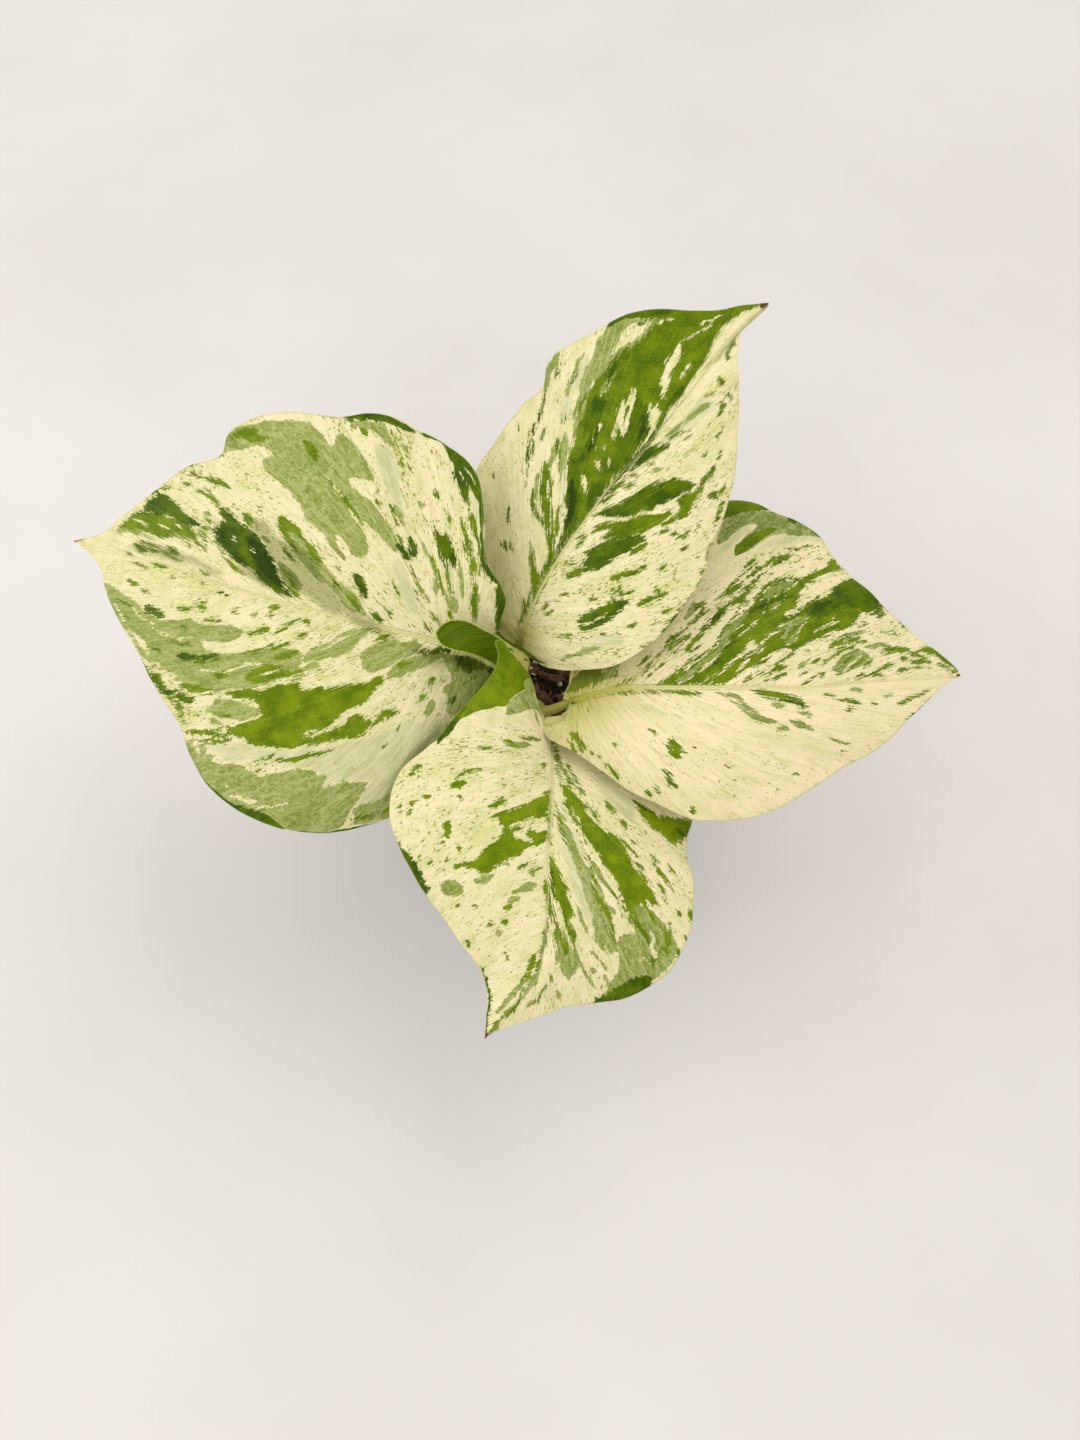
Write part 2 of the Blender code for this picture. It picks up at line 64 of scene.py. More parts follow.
LEAVES = {
    "leaf_left": dict(
        midrib=[
            (478, 652, 119), (455, 646, 122), (430, 640, 125), (400, 632, 127), (370, 625, 128.5), (335, 616, 129),
            (300, 607, 128.5), (240, 590, 126), (200, 578, 123.5), (170, 567, 121), (120, 553, 117), (72, 540, 112),
        ],
        far=[
            (486, 646, 121), (493, 638, 123), (498, 629, 126), (503, 615, 129), (506, 602, 132), (501, 586, 135), (489, 566, 138),
            (483, 539, 141), (482, 513, 143), (480, 483, 144), (468, 461, 145), (448, 446, 146), (421, 431, 147),
            (392, 417, 148), (368, 414, 149), (342, 418, 147), (305, 412, 146), (279, 412, 144), (252, 418, 141), (229, 433, 137),
            (221, 453, 134), (189, 466, 131), (150, 496, 124), (126, 513, 119.5), (100, 534, 114.5), (72, 540, 112),
        ],
        near=[
            (495, 662, 118), (498, 680, 114), (490, 705, 109), (478, 732, 105), (465, 758, 102), (445, 782, 100), (420, 802, 98.5),
            (390, 818, 98), (355, 829, 97.5), (322, 834, 97.5), (285, 829, 98), (246, 814, 99), (216, 795, 100), (196, 768, 102),
            (186, 745, 103.5), (178, 722, 104.5), (156, 688, 106.5), (136, 652, 108.5), (116, 615, 110.5), (106, 592, 112), (100, 566, 113), (90, 554, 112.5),
            (72, 540, 112),
        ],
        tuck=((0.0, 0.1), (0.0, 0.1)), gather=1.7, arch=(3.5, 4.0), hold=(1.0, 1.25), bow=(0.10, 0.16),
        # where side veins leave the midrib and where they meet the margin, base to tip
        veins_far=[
            ((476, 652), (503, 612)), ((468, 650), (478, 478)), ((455, 646), (430, 436)), ((445, 643), (345, 418)), ((428, 640), (240, 424)),
            ((395, 631), (218, 455)), ((345, 617), (170, 480)), ((310, 609), (148, 498)), ((240, 590), (118, 520)),
        ],
        veins_near=[
            ((476, 654), (487, 690)), ((470, 651), (420, 802)), ((462, 648), (345, 830)), ((450, 645), (240, 812)), ((432, 640), (188, 750)),
            ((395, 631), (172, 713)), ((335, 616), (146, 670)), ((270, 598), (122, 626)), ((190, 574), (102, 575)),
        ],
    ),
    "leaf_top": dict(
        midrib=[
            (519, 648, 114.5), (522, 636, 118), (535, 599, 127), (554, 564, 134), (578, 529, 141), (610, 486, 148), (648, 443, 155),
            (675, 409, 159), (715, 360, 164), (745, 325, 167), (769, 303, 168.5),
        ],
        far=[
            (516, 655, 113.5), (508, 660, 112.5), (496, 656, 112), (486, 642, 112), (478, 615, 112), (472, 585, 113), (468, 550, 115),
            (467, 515, 118), (470, 487, 122), (482, 462, 126), (500, 435, 131), (525, 403, 137), (542, 384, 141), (546, 366, 144), (554, 354, 147), (567, 347, 150),
            (594, 332, 156), (613, 321, 159), (637, 312, 162), (664, 309, 164.5), (693, 310, 166), (717, 310, 167), (744, 305, 168),
            (769, 303, 168.5),
        ],
        near=[
            (526, 655, 114.5), (541, 663, 117), (562, 670, 121.5), (584, 670, 126), (613, 666, 130.5), (642, 650, 134.5), (669, 626, 138),
            (685, 604, 141), (704, 575, 144), (712, 545, 147), (726, 510, 151), (734, 478, 154), (738, 441, 158), (739, 400, 161),
            (738, 360, 165), (742, 328, 167), (758, 310, 168.5), (769, 303, 168.5),
        ],
        tuck=((0.0, 0.1), (0.0, 0.1)), gather=1.55, arch=(1.0, 3.0), hold=(3.2, 1.0), bow=(0.10, 0.12),
        veins_far=[
            ((519, 647), (475, 600)), ((521, 640), (468, 520)), ((527, 622), (500, 435)), ((540, 590), (545, 370)), ((560, 556), (600, 328)),
            ((585, 520), (660, 309)), ((620, 474), (705, 310)), ((660, 428), (735, 306)),
        ],
        veins_near=[
            ((519, 646), (560, 669)), ((521, 640), (620, 664)), ((524, 630), (675, 618)), ((530, 612), (708, 560)), ((545, 580), (728, 500)),
            ((572, 537), (737, 440)), ((612, 484), (739, 390)), ((665, 421), (738, 350)),
        ],
    ),
    "leaf_right": dict(
        midrib=[
            (572, 702, 117.5), (590, 696, 120), (619, 689, 123.5), (650, 687, 126), (679, 687, 127), (745, 687, 128), (812, 687, 126),
            (878, 681, 122), (930, 678, 117.5), (962, 676, 114),
        ],
        far=[
            (563, 699, 116.8), (565, 692, 117), (569, 684, 117.5), (570, 676, 117.5), (573, 664, 117.5), (582, 645, 118.5), (600, 615, 120.5), (630, 575, 124), (662, 540, 127),
            (697, 512, 129.5), (730, 500, 131), (755, 503, 132.5), (778, 513, 133), (798, 521, 132.5), (815, 533, 132), (822, 541, 131.5), (832, 556, 130.5), (848, 573, 129),
            (871, 593, 126), (898, 619, 122), (928, 646, 118), (951, 664, 115), (962, 676, 114),
        ],
        near=[
            (570, 708, 117.3), (567, 713.5, 117), (556, 717, 116.5), (545, 720, 116), (544, 728, 115.5), (548, 737, 115.3), (557, 743, 115.2), (573, 751, 115.2), (603, 772, 114.5), (636, 795, 113.5), (666, 808, 112.5),
            (692, 818, 112), (709, 821, 112), (739, 820, 112), (772, 812, 112), (805, 792, 113), (845, 768, 114), (878, 749, 115),
            (911, 717, 115.5), (928, 700, 115), (944, 685, 114.5), (962, 676, 114),
        ],
        tuck=((0.0, 0.1), (0.34, 0.07)), gather=1.6, arch=(3.0, 3.5), hold=(1.1, 1.2), bow=(0.10, 0.12),
        veins_far=[
            ((574, 701), (570, 675)), ((582, 698), (600, 615)), ((592, 695), (662, 540)), ((605, 692), (745, 502)), ((625, 689), (812, 530)),
            ((660, 687), (845, 570)), ((720, 687), (884, 606)), ((800, 687), (922, 640)),
        ],
        veins_near=[
            ((576, 701), (573, 749)), ((582, 699), (636, 795)), ((592, 696), (709, 821)), ((612, 690), (780, 808)), ((655, 687), (860, 760)),
            ((735, 687), (910, 718)), ((830, 685), (938, 690)),
        ],
    ),
    "leaf_front": dict(
        midrib=[
            (552, 737, 108.5), (553, 760, 110.5), (553, 783, 111.5), (551, 831, 111.5), (548, 863, 109.5), (548, 904, 106), (545, 936, 102),
            (538, 975, 96.5), (513, 1006, 90), (484, 1040, 82),
        ],
        far=[
            (546, 727, 109.5), (542, 718, 112.5), (539, 705, 116.5), (537, 690, 121), (530, 675, 126), (520, 663, 130), (509, 650, 134),
            (501, 640, 136.5), (497, 640, 136.5), (498, 655, 135), (495, 668, 133), (485, 683, 130), (470, 700, 127), (450, 722, 123), (437, 738, 120),
            (424, 750, 117), (401, 770, 114), (392, 790, 112), (390, 815, 110), (397, 841, 108), (408, 866, 105.5), (424, 892, 102.5), (440, 914, 99.5),
            (462, 943, 95.5), (481, 971, 91.5), (487, 997, 88), (486, 1019, 85), (484, 1040, 82),
        ],
        near=[
            (562, 736, 107.5), (578, 738, 106), (602, 744, 104.5), (635, 758, 103.5), (665, 778, 103), (684, 800, 103), (692, 820, 103),
            (688, 837, 103.5), (687, 853, 103.5), (692, 872, 103), (694, 898, 101), (692, 923, 99), (682, 949, 96), (669, 971, 93),
            (647, 989, 91), (621, 1000, 89.5), (596, 1003, 88.5), (564, 1008, 87.5), (532, 1018, 86), (503, 1029, 84), (484, 1040, 82),
        ],
        tuck=((0.16, 0.08), (0.0, 0.1)), gather=1.55, arch=(3.0, 3.0), hold=(1.15, 1.2), bow=(0.10, 0.12),
        veins_far=[
            ((552, 739), (540, 707)), ((552, 744), (500, 640)), ((552, 752), (440, 735)), ((553, 765), (391, 800)), ((553, 790), (400, 850)),
            ((551, 830), (424, 892)), ((548, 880), (452, 930)), ((546, 930), (478, 965)),
        ],
        veins_near=[
            ((553, 745), (640, 760)), ((553, 752), (690, 812)), ((553, 762), (692, 872)), ((553, 780), (692, 925)), ((552, 815), (665, 975)),
            ((549, 855), (615, 1001)), ((547, 905), (565, 1008)),
        ],
    ),
}

YOUNG_UPPER = [
    (519, 689, 104), (524, 680, 110), (528, 671, 119), (529, 661, 124), (509, 645, 129), (497, 637, 131.5), (482, 629, 133.5),
    (465, 621, 135.5), (452, 620.5, 136.5), (441, 626, 137), (436, 633, 137),
]
YOUNG_LOWER = [
    (519, 699, 103), (517, 693, 106.5), (514, 687, 111), (508, 679, 116), (501, 671, 121), (493, 664, 124.5), (480, 657, 128.5),
    (468, 653, 131.5), (455, 650, 134), (443, 645, 136), (437, 638, 137),
]
YOUNG_DEPTH = 1.7

# ------------------------------------------------------------------------------------------------ markings
# One mark a line: its kind (c cream, m mint, s sage, g green, d dark green, k deepest green, o smooth borders, h soft shade), a half width where it is a stroke, and its
# points as across,down. A mark without a half width is a patch with that outline.
KINDS = "cmsgdkoh"
MARKS = {
    # On leaf_left the strokes from 416,650 to 456,650 and the sage, dark green and deepest green patches between
    # 440,652 and 494,716 are partly the blade's own mottling and partly painted shadow that the young leaf casts on it.
    "leaf_left": """
s : 222,452 224,438 236,428 247,424 265,421 308,420 318,431 333,448 335,436 343,434 352,442 362,452 369,466 376,481 366,479 352,477 347,480 356,492 370,500 380,512 392,528 400,545 396,553 386,543 372,528 362,520 366,535 369,549 366,556 358,558 350,550 344,541 340,533 336,536 340,548 345,558 343,561 336,552 326,538 318,530 306,520 300,506 290,492 276,480 264,468 262,458 275,455 266,446 255,447 240,450
c 1.5 : 322,473 332,483 343,496 352,514 362,530
c 3.0 : 360,524 378,550 394,578 404,600
g 1.2 : 325,477 333,484 341,492
g 1.3 : 344,495 350,508 359,521
g 3.6 : 304,440 311,449 318,462
m : 376,446 392,450 400,470 403,500 408,518 401,520 392,500 382,480 376,462
s : 352,420 372,422 386,424 390,436 397,451 386,444 372,434 360,430 350,428
c 1.1 : 356,426 372,432 386,444
g 3.0 : 361,430 367,437
s 3.6 : 403,443 406,455
g 1.2 : 401,462 405,466 410,470
g : 226,440 236,433 247,426 256,429 259,436 266,433 268,438 260,442 250,441 238,438
g 1.3 : 187,467 194,463 200,460
g 0.9 : 205,459 221,454
g 2.2 : 203,477 214,482 224,484 231,489
g 1.0 : 190,474 200,477
g 3.2 : 197,490 206,492 213,497
g 1.2 : 182,483 192,486
g 1.3 : 150,494 160,490
g 1.5 : 163,491 171,489
d 1.5 : 68,541 76,539 86,536 100,533
s : 116,532 126,520 140,514 164,517 190,527 192,534 186,541 176,538 160,538 150,541 142,536 130,532
g : 120,528 130,516 140,512 152,512 164,516 178,520 190,526 196,536 190,540 178,534 168,534 158,536 148,532 138,528 128,530
c 1.1 : 134,520 142,523 150,527
c 1.0 : 156,522 164,527 172,529
c 1.3 : 140,532 152,536 164,540
c 0.9 : 176,523 182,530
d : 139,513 148,503 155,496 162,494 168,498 176,502 180,509 186,516 195,519 203,524 198,527 188,526 178,522 170,517 160,516 150,514
g 3.0 : 146,516 156,519 163,523
g 2.6 : 152,528 162,533 172,537
g 3.0 : 180,528 186,534 184,540
g 2.0 : 128,524 138,518
g 2.4 : 134,543 141,549 147,553
g 1.6 : 148,549 158,551
s 3.6 : 166,547 173,551 179,555
g 2.2 : 169,549 178,555
g 1.2 : 127,553 132,556
g 1.6 : 134,562 142,566 148,568
g 2.2 : 152,562 160,565 167,569
g 1.3 : 170,576 176,578
g 2.0 : 128,580 138,586
g 2.0 : 141,590 151,593
d 4.2 : 145,605 152,611 165,617
d : 222,508 230,512 236,519 244,524 252,532 260,540 266,549 272,560 277,571 282,581 290,590 296,597 286,597 277,594 268,587 258,577 250,568 240,562 232,560 228,552 220,545 216,537 212,530 218,530 221,524 225,521 222,515
d : 224,508 232,514 243,526 254,536 263,545 270,556 276,567 281,579 291,593 284,594 272,587 262,575 253,562 246,550 240,541 232,530 226,520
k : 247,536 254,538 262,545 270,556 276,567 281,579 289,591 284,592 274,584 264,575 256,563 250,551
k 1.6 : 228,512 236,521
c 1.5 : 231,536 237,541
c 1.0 : 252,547 257,553
g 2.6 : 206,513 212,517
g 1.6 : 201,526 212,530
g 1.8 : 200,528 205,536 208,546
g 1.4 : 205,520 212,524
s 3.0 : 204,512 212,518
s 2.4 : 214,540 220,548 226,556
g 1.5 : 195,540 201,545 207,551
g 1.0 : 186,541 191,546
s 4.6 : 243,513 249,519 253,527
g 2.2 : 243,514 248,519 252,525
g 1.1 : 232,505 235,508
g 0.9 : 259,508 260,511
d 1.2 : 219,592 228,596
d 1.2 : 200,581 204,586
g 1.5 : 201,572 210,576
s : 277,517 284,515 292,523 298,530 305,538 312,545 320,556 326,565 333,576 343,586 351,589 357,597 363,607 367,615 360,614 350,610 343,606 338,598 330,586 318,580 310,572 303,562 297,556 290,545 283,535 278,526
g : 277,517 284,515 292,523 300,532 305,540 296,538 290,531 286,532 293,543 301,553 292,548 283,535
g 2.6 : 306,543 314,555 322,568
s : 277,560 283,562 288,567 293,573 298,579 303,586 301,591 297,592 300,599 294,597 288,591 283,582 279,571
g 1.8 : 284,570 290,580 297,588
g 2.4 : 283,587 290,592 299,598
s 2.6 : 283,547 288,553 295,561
s 2.6 : 261,536 266,540 272,544
g 1.0 : 284,549 292,558
d 2.3 : 331,579 336,585 341,590
s : 343,588 352,590 358,600 364,610 368,616 358,613 348,608 342,600
g 2.6 : 346,592 354,602 361,611
d 2.6 : 369,612 375,616 384,622
d : 352,575 357,573 362,579 366,588 370,597 366,599 360,593 355,584
g 1.6 : 335,567 341,571
s 2.6 : 340,550 345,560
g 1.1 : 375,598 380,606
d 4.0 : 397,543 404,551 411,561
d 3.6 : 408,538 414,547 415,557
g 1.3 : 396,536 402,541
d : 433,523 437,528 441,537 446,534 451,542 453,552 456,560 455,570 451,564 447,572 443,563 439,552 437,542 434,533
d : 454,466 460,471 464,479 467,488 469,497 468,505 463,498 459,490 456,482 454,474
g 1.6 : 461,520 466,530 468,545 470,560
g 1.7 : 470,508 474,520 476,532 479,548
g 2.3 : 474,560 477,573
g 2.6 : 474,582 476,594 474,602 476,619
g 1.2 : 463,541 465,553
g 2.2 : 435,489 438,500
g 1.3 : 447,508 449,525
s 4.0 : 420,502 425,508
s 3.6 : 393,502 400,515 405,526
g 1.9 : 389,505 394,515 399,527
g : 256,694 268,688 282,684 290,690 280,704 268,716 258,716 262,706 254,700
g 2.4 : 158,682 166,690 176,697
g 2.6 : 416,650 428,652 440,657
g 3.0 : 150,668 160,684 172,698 184,708
g 1.5 : 176,704 184,720 188,736
s 2.4 : 190,730 200,746 214,760
s 2.6 : 204,716 214,722 226,726
m 3.0 : 446,556 452,580 456,606
m 2.4 : 424,544 434,566 442,590
s 2.0 : 458,560 462,580 463,600
s 1.6 : 422,540 430,560 438,582
s 1.8 : 442,584 448,600 452,614
g 1.3 : 446,566 450,584 454,602
g 1.0 : 430,556 438,576 444,596
g 0.9 : 410,566 420,586 430,604
s 2.2 : 206,492 216,500 222,508
g 1.3 : 208,497 218,504
s 2.4 : 222,556 234,566 246,576
g 1.2 : 226,560 238,570
g 1.6 : 140,541 152,546 163,550
s 2.0 : 156,548 170,556 184,562
g 2.2 : 279,518 284,530 291,542
s 3.0 : 296,672 308,668 320,664
s 2.4 : 268,677 282,673 294,669
g 1.2 : 476,534 479,548 480,562 479,576
g 1.0 : 470,512 472,524 475,536
g 0.9 : 471,560 472,574 472,586
g 2.0 : 473,584 474,600 475,622
g 1.8 : 376,498 381,508
g 1.3 : 377,490 380,496
g 1.2 : 424,519 428,526
g 1.6 : 413,588 418,599
g 1.5 : 432,612 440,626
g 1.8 : 423,624 432,634
g 2.2 : 449,609 453,620
m : 396,556 404,566 414,590 420,612 412,616 405,604 398,585 392,566
s 4.2 : 452,597 456,614
s 2.6 : 436,578 437,596
g 1.1 : 393,580 399,597
g 1.0 : 385,606 392,620
d : 341,419 352,415 368,412 382,414 396,421 408,427 422,433 412,432 400,428 388,423 376,420 360,420 348,421
g 1.6 : 421,433 432,438 441,441
s : 440,440 450,446 458,457 468,461 477,470 482,485 482,500 476,498 470,490 464,478 458,466 448,452
d 2.2 : 462,459 472,467 478,478 481,492
g 1.2 : 441,441 450,448 459,459
m : 470,490 482,500 482,535 478,530 474,512
g 1.1 : 482,500 481,520 482,536
d 3.4 : 483,541 488,555 494,571 503,586
d : 499,580 505,591 507,602 504,616 499,629 496,631 496,617 496,604 494,590
m 2.6 : 490,590 494,603 495,617
s : 104,582 118,590 136,602 146,612 160,620 178,620 190,619 206,626 228,624 245,632 234,642 214,643 200,640 205,650 222,654 250,652 275,645 290,650 300,652 300,668 296,676 285,678 270,682 250,690 235,688 226,690 214,692 200,692 188,688 176,680 168,676 150,664 140,655 134,645 120,622 110,604
c 2.6 : 128,628 139,640 150,655
c 2.0 : 222,645 236,641 250,639
c 1.3 : 150,660 165,671 182,680
c 1.2 : 228,672 245,666 262,662
c 1.2 : 150,628 168,636 186,641
c 1.0 : 130,606 142,618 156,626
d 3.2 : 175,655 190,658 206,658 221,656
g 2.4 : 192,661 208,662
g 3.6 : 215,677 228,673
g : 245,680 250,672 258,666 270,663 280,668 296,672 308,669 298,676 284,677 270,680 258,684
g 2.6 : 273,658 286,655 298,652
d : 141,662 147,669 156,676 162,685 172,690 186,694 197,698 192,702 182,702 175,696 166,694 160,692 154,684 147,674
c 1.0 : 146,664 158,674 172,683 184,690
g : 180,684 190,684 204,688 215,690 213,693 200,693 188,690
s : 206,712 216,700 232,700 246,704 258,708 262,714 252,718 240,722 226,718 214,714
g 1.2 : 116,598 124,602 132,608
g 1.0 : 120,612 132,620
g 1.3 : 152,648 164,654
g 1.1 : 166,640 180,644 192,643
g 1.0 : 240,655 252,653 262,650
g 1.4 : 262,672 274,668 284,666
c 0.9 : 112,600 120,612 126,626
c 0.8 : 160,630 176,636 194,638
c 0.8 : 196,668 214,672 232,670
c 0.8 : 256,676 272,672 290,670
g 1.0 : 222,712 232,717
s 2.0 : 195,713 206,720
g : 227,692 240,689 258,689 262,693 250,698 236,699
g : 222,728 240,725 256,720 262,712 270,706 268,700 280,700 282,690 284,684 298,682 301,690 312,688 330,688 345,685 360,683 370,682 376,677 382,676 384,681 378,687 372,692 369,697 366,702 356,707 344,712 341,718 332,722 320,728 305,732 303,737 320,735 332,730 345,726 352,717 362,714 363,722 372,720 384,712 394,708 398,712 390,716 378,722 366,729 362,736 356,738 346,737 330,740 312,743 296,746 280,748 262,746 248,742 236,736
c 2.3 : 304,735 325,729 345,719 358,711
c 2.6 : 345,712 356,709 372,702
g 2.6 : 190,731 208,733 228,735
g 1.4 : 198,741 214,742 232,740
m : 205,745 235,743 255,746 290,750 330,745 345,742 370,737 392,728 410,722 430,720 448,715 442,740 420,765 402,785 392,800 380,806 370,808 352,808 366,785 372,781 350,781 333,780 322,786 318,775 316,765 290,768 262,760 240,762 220,760
g 2.0 : 254,761 268,759 280,761 300,758 320,753 336,749
g 1.5 : 256,771 262,772
g 1.4 : 271,755 277,753
g 1.0 : 382,748 390,743
s : 190,740 196,752 205,758 222,763 240,765 248,770 262,778 280,772 300,770 315,771 318,776 326,774 322,788 335,784 352,782 369,782 366,788 356,802 350,812 345,822 338,829 322,833 300,832 282,828 262,820 246,812 230,804 216,795 204,782 194,768 186,750 184,742
c 2.0 : 227,796 245,800 257,802
c 1.5 : 250,807 268,807 290,802
c 1.2 : 218,784 228,787
d : 232,804 244,806 256,810 266,814 275,820 284,828 286,831 270,829 256,824 242,816 230,808
d 2.2 : 206,784 216,794 228,803 240,811
s : 350,812 360,806 372,803 384,797 393,793 396,806 390,818 370,822 352,826 356,818
g 1.6 : 352,820 372,816 392,806
s : 360,655 368,647 378,641 392,640 406,643 415,640 424,644 418,652 400,660 385,668 372,673 362,668
g 2.6 : 378,640 388,637
s : 386,672 400,662 416,656 428,653 440,650 453,655 440,660 425,666 410,672 398,679 388,678
g 2.0 : 398,668 412,662
d 2.6 : 424,654 440,651 456,650
s : 300,660 310,650 330,640 345,632 362,628 373,628 362,640 350,652 338,656 322,660 308,662
c 1.0 : 318,652 336,642 352,634
g 2.0 : 303,620 311,625
g 2.0 : 299,633 306,637
g 2.0 : 248,634 256,633
g 3.0 : 258,631 270,628
g 1.6 : 296,634 303,637
g 1.4 : 274,634 286,626 301,620
g 1.8 : 262,649 276,647 291,643
g 1.5 : 270,609 279,607
g 1.6 : 268,616 275,614
s 2.4 : 250,616 259,613
g 1.5 : 231,613 239,608
g 1.9 : 178,608 192,610
g 1.8 : 198,607 208,609
g 1.2 : 195,603 208,603
g 1.3 : 205,620 221,620
s 3.0 : 185,622 196,626
g 1.1 : 180,626 188,630
s : 440,652 456,655 470,656 484,662 494,668 490,680 482,692 472,702 460,710 450,716 444,712 450,702 448,692 454,682 450,672 444,662
d : 455,660 462,655 470,656 478,660 486,664 494,668 489,677 484,685 478,692 472,696 466,692 468,684 464,679 466,673 460,668
k : 458,658 466,656 476,660 486,665 493,669 488,677 483,683 476,679 469,674 474,669 466,664
k 1.4 : 470,684 478,686
d 1.6 : 462,700 468,694 474,688
g 1.6 : 452,706 458,698 464,690
c 0.8 : 461,668 466,676 465,684
c 0.7 : 470,678 475,684 474,690
c 0.8 : 456,676 460,684 456,692
c 0.7 : 478,684 482,678
c 0.9 : 448,700 454,694
s : 440,690 455,680 470,672 485,668 490,676 478,690 465,702 450,716 446,708 450,698
s 3.6 : 427,700 433,705 425,716
g 2.6 : 428,684 436,678
g 1.5 : 417,703 425,695
g 1.2 : 395,731 400,725
g 1.5 : 411,688 415,686
g 1.0 : 441,684 446,676
d 2.6 : 456,659 472,662 488,669
g 1.5 : 452,672 462,668
g 1.5 : 464,684 476,676
d 2.0 : 448,706 458,696
d 2.4 : 184,744 190,762 200,779 213,793 228,804 242,812 256,820 272,828 290,832
d 1.4 : 290,832 320,834 350,830 380,822
d : 444,446 454,450 462,456 470,461 478,468 483,478 485,492 482,502 477,500 472,490 465,480 457,468 449,457
h 7 : 250,518 266,534 282,552
h 15 : 262,534 290,562 314,586 344,612
h 6 : 410,647 428,654 448,665
h 5 : 330,600 360,620 396,640
h 4 : 130,546 160,551 190,560 220,574
h 4.5 : 214,520 228,544 246,568 270,588
h 9 : 436,652 452,657 468,664 486,672 480,690
h 3.4 : 385,800 400,775 420,750 442,726
k 2.2 : 283,586 289,595
d 1.8 : 342,418 352,415 368,413 382,415 396,421 408,427 421,433
d 1.3 : 421,433 434,438 448,446 460,456
d 1.7 : 460,456 472,464 480,476 483,492
d 1.2 : 482,492 483,515 483,540
o 9 : 342,416 372,412 408,426 440,444 468,460 482,482 483,510 482,540 490,562 503,588 505,604 499,630
o 8 : 185,742 204,784 240,812 286,832 338,832 380,822
d : 457,455 465,459 473,466 480,476 484,490 484,512 483,530 480,524 479,508 478,494 474,484 468,474 461,463
m 0.9 : 463,464 470,474 476,486
d 1.3 : 481,530 483,545
d 2.4 : 484,541 489,558 496,574 503,588
d 3.4 : 503,588 505,600 503,614 499,628
d 2.4 : 480,534 482,547 483,560 487,570 492,577 498,584 503,592
d 1.2 : 185,744 194,768 204,783 216,796 232,807
""",
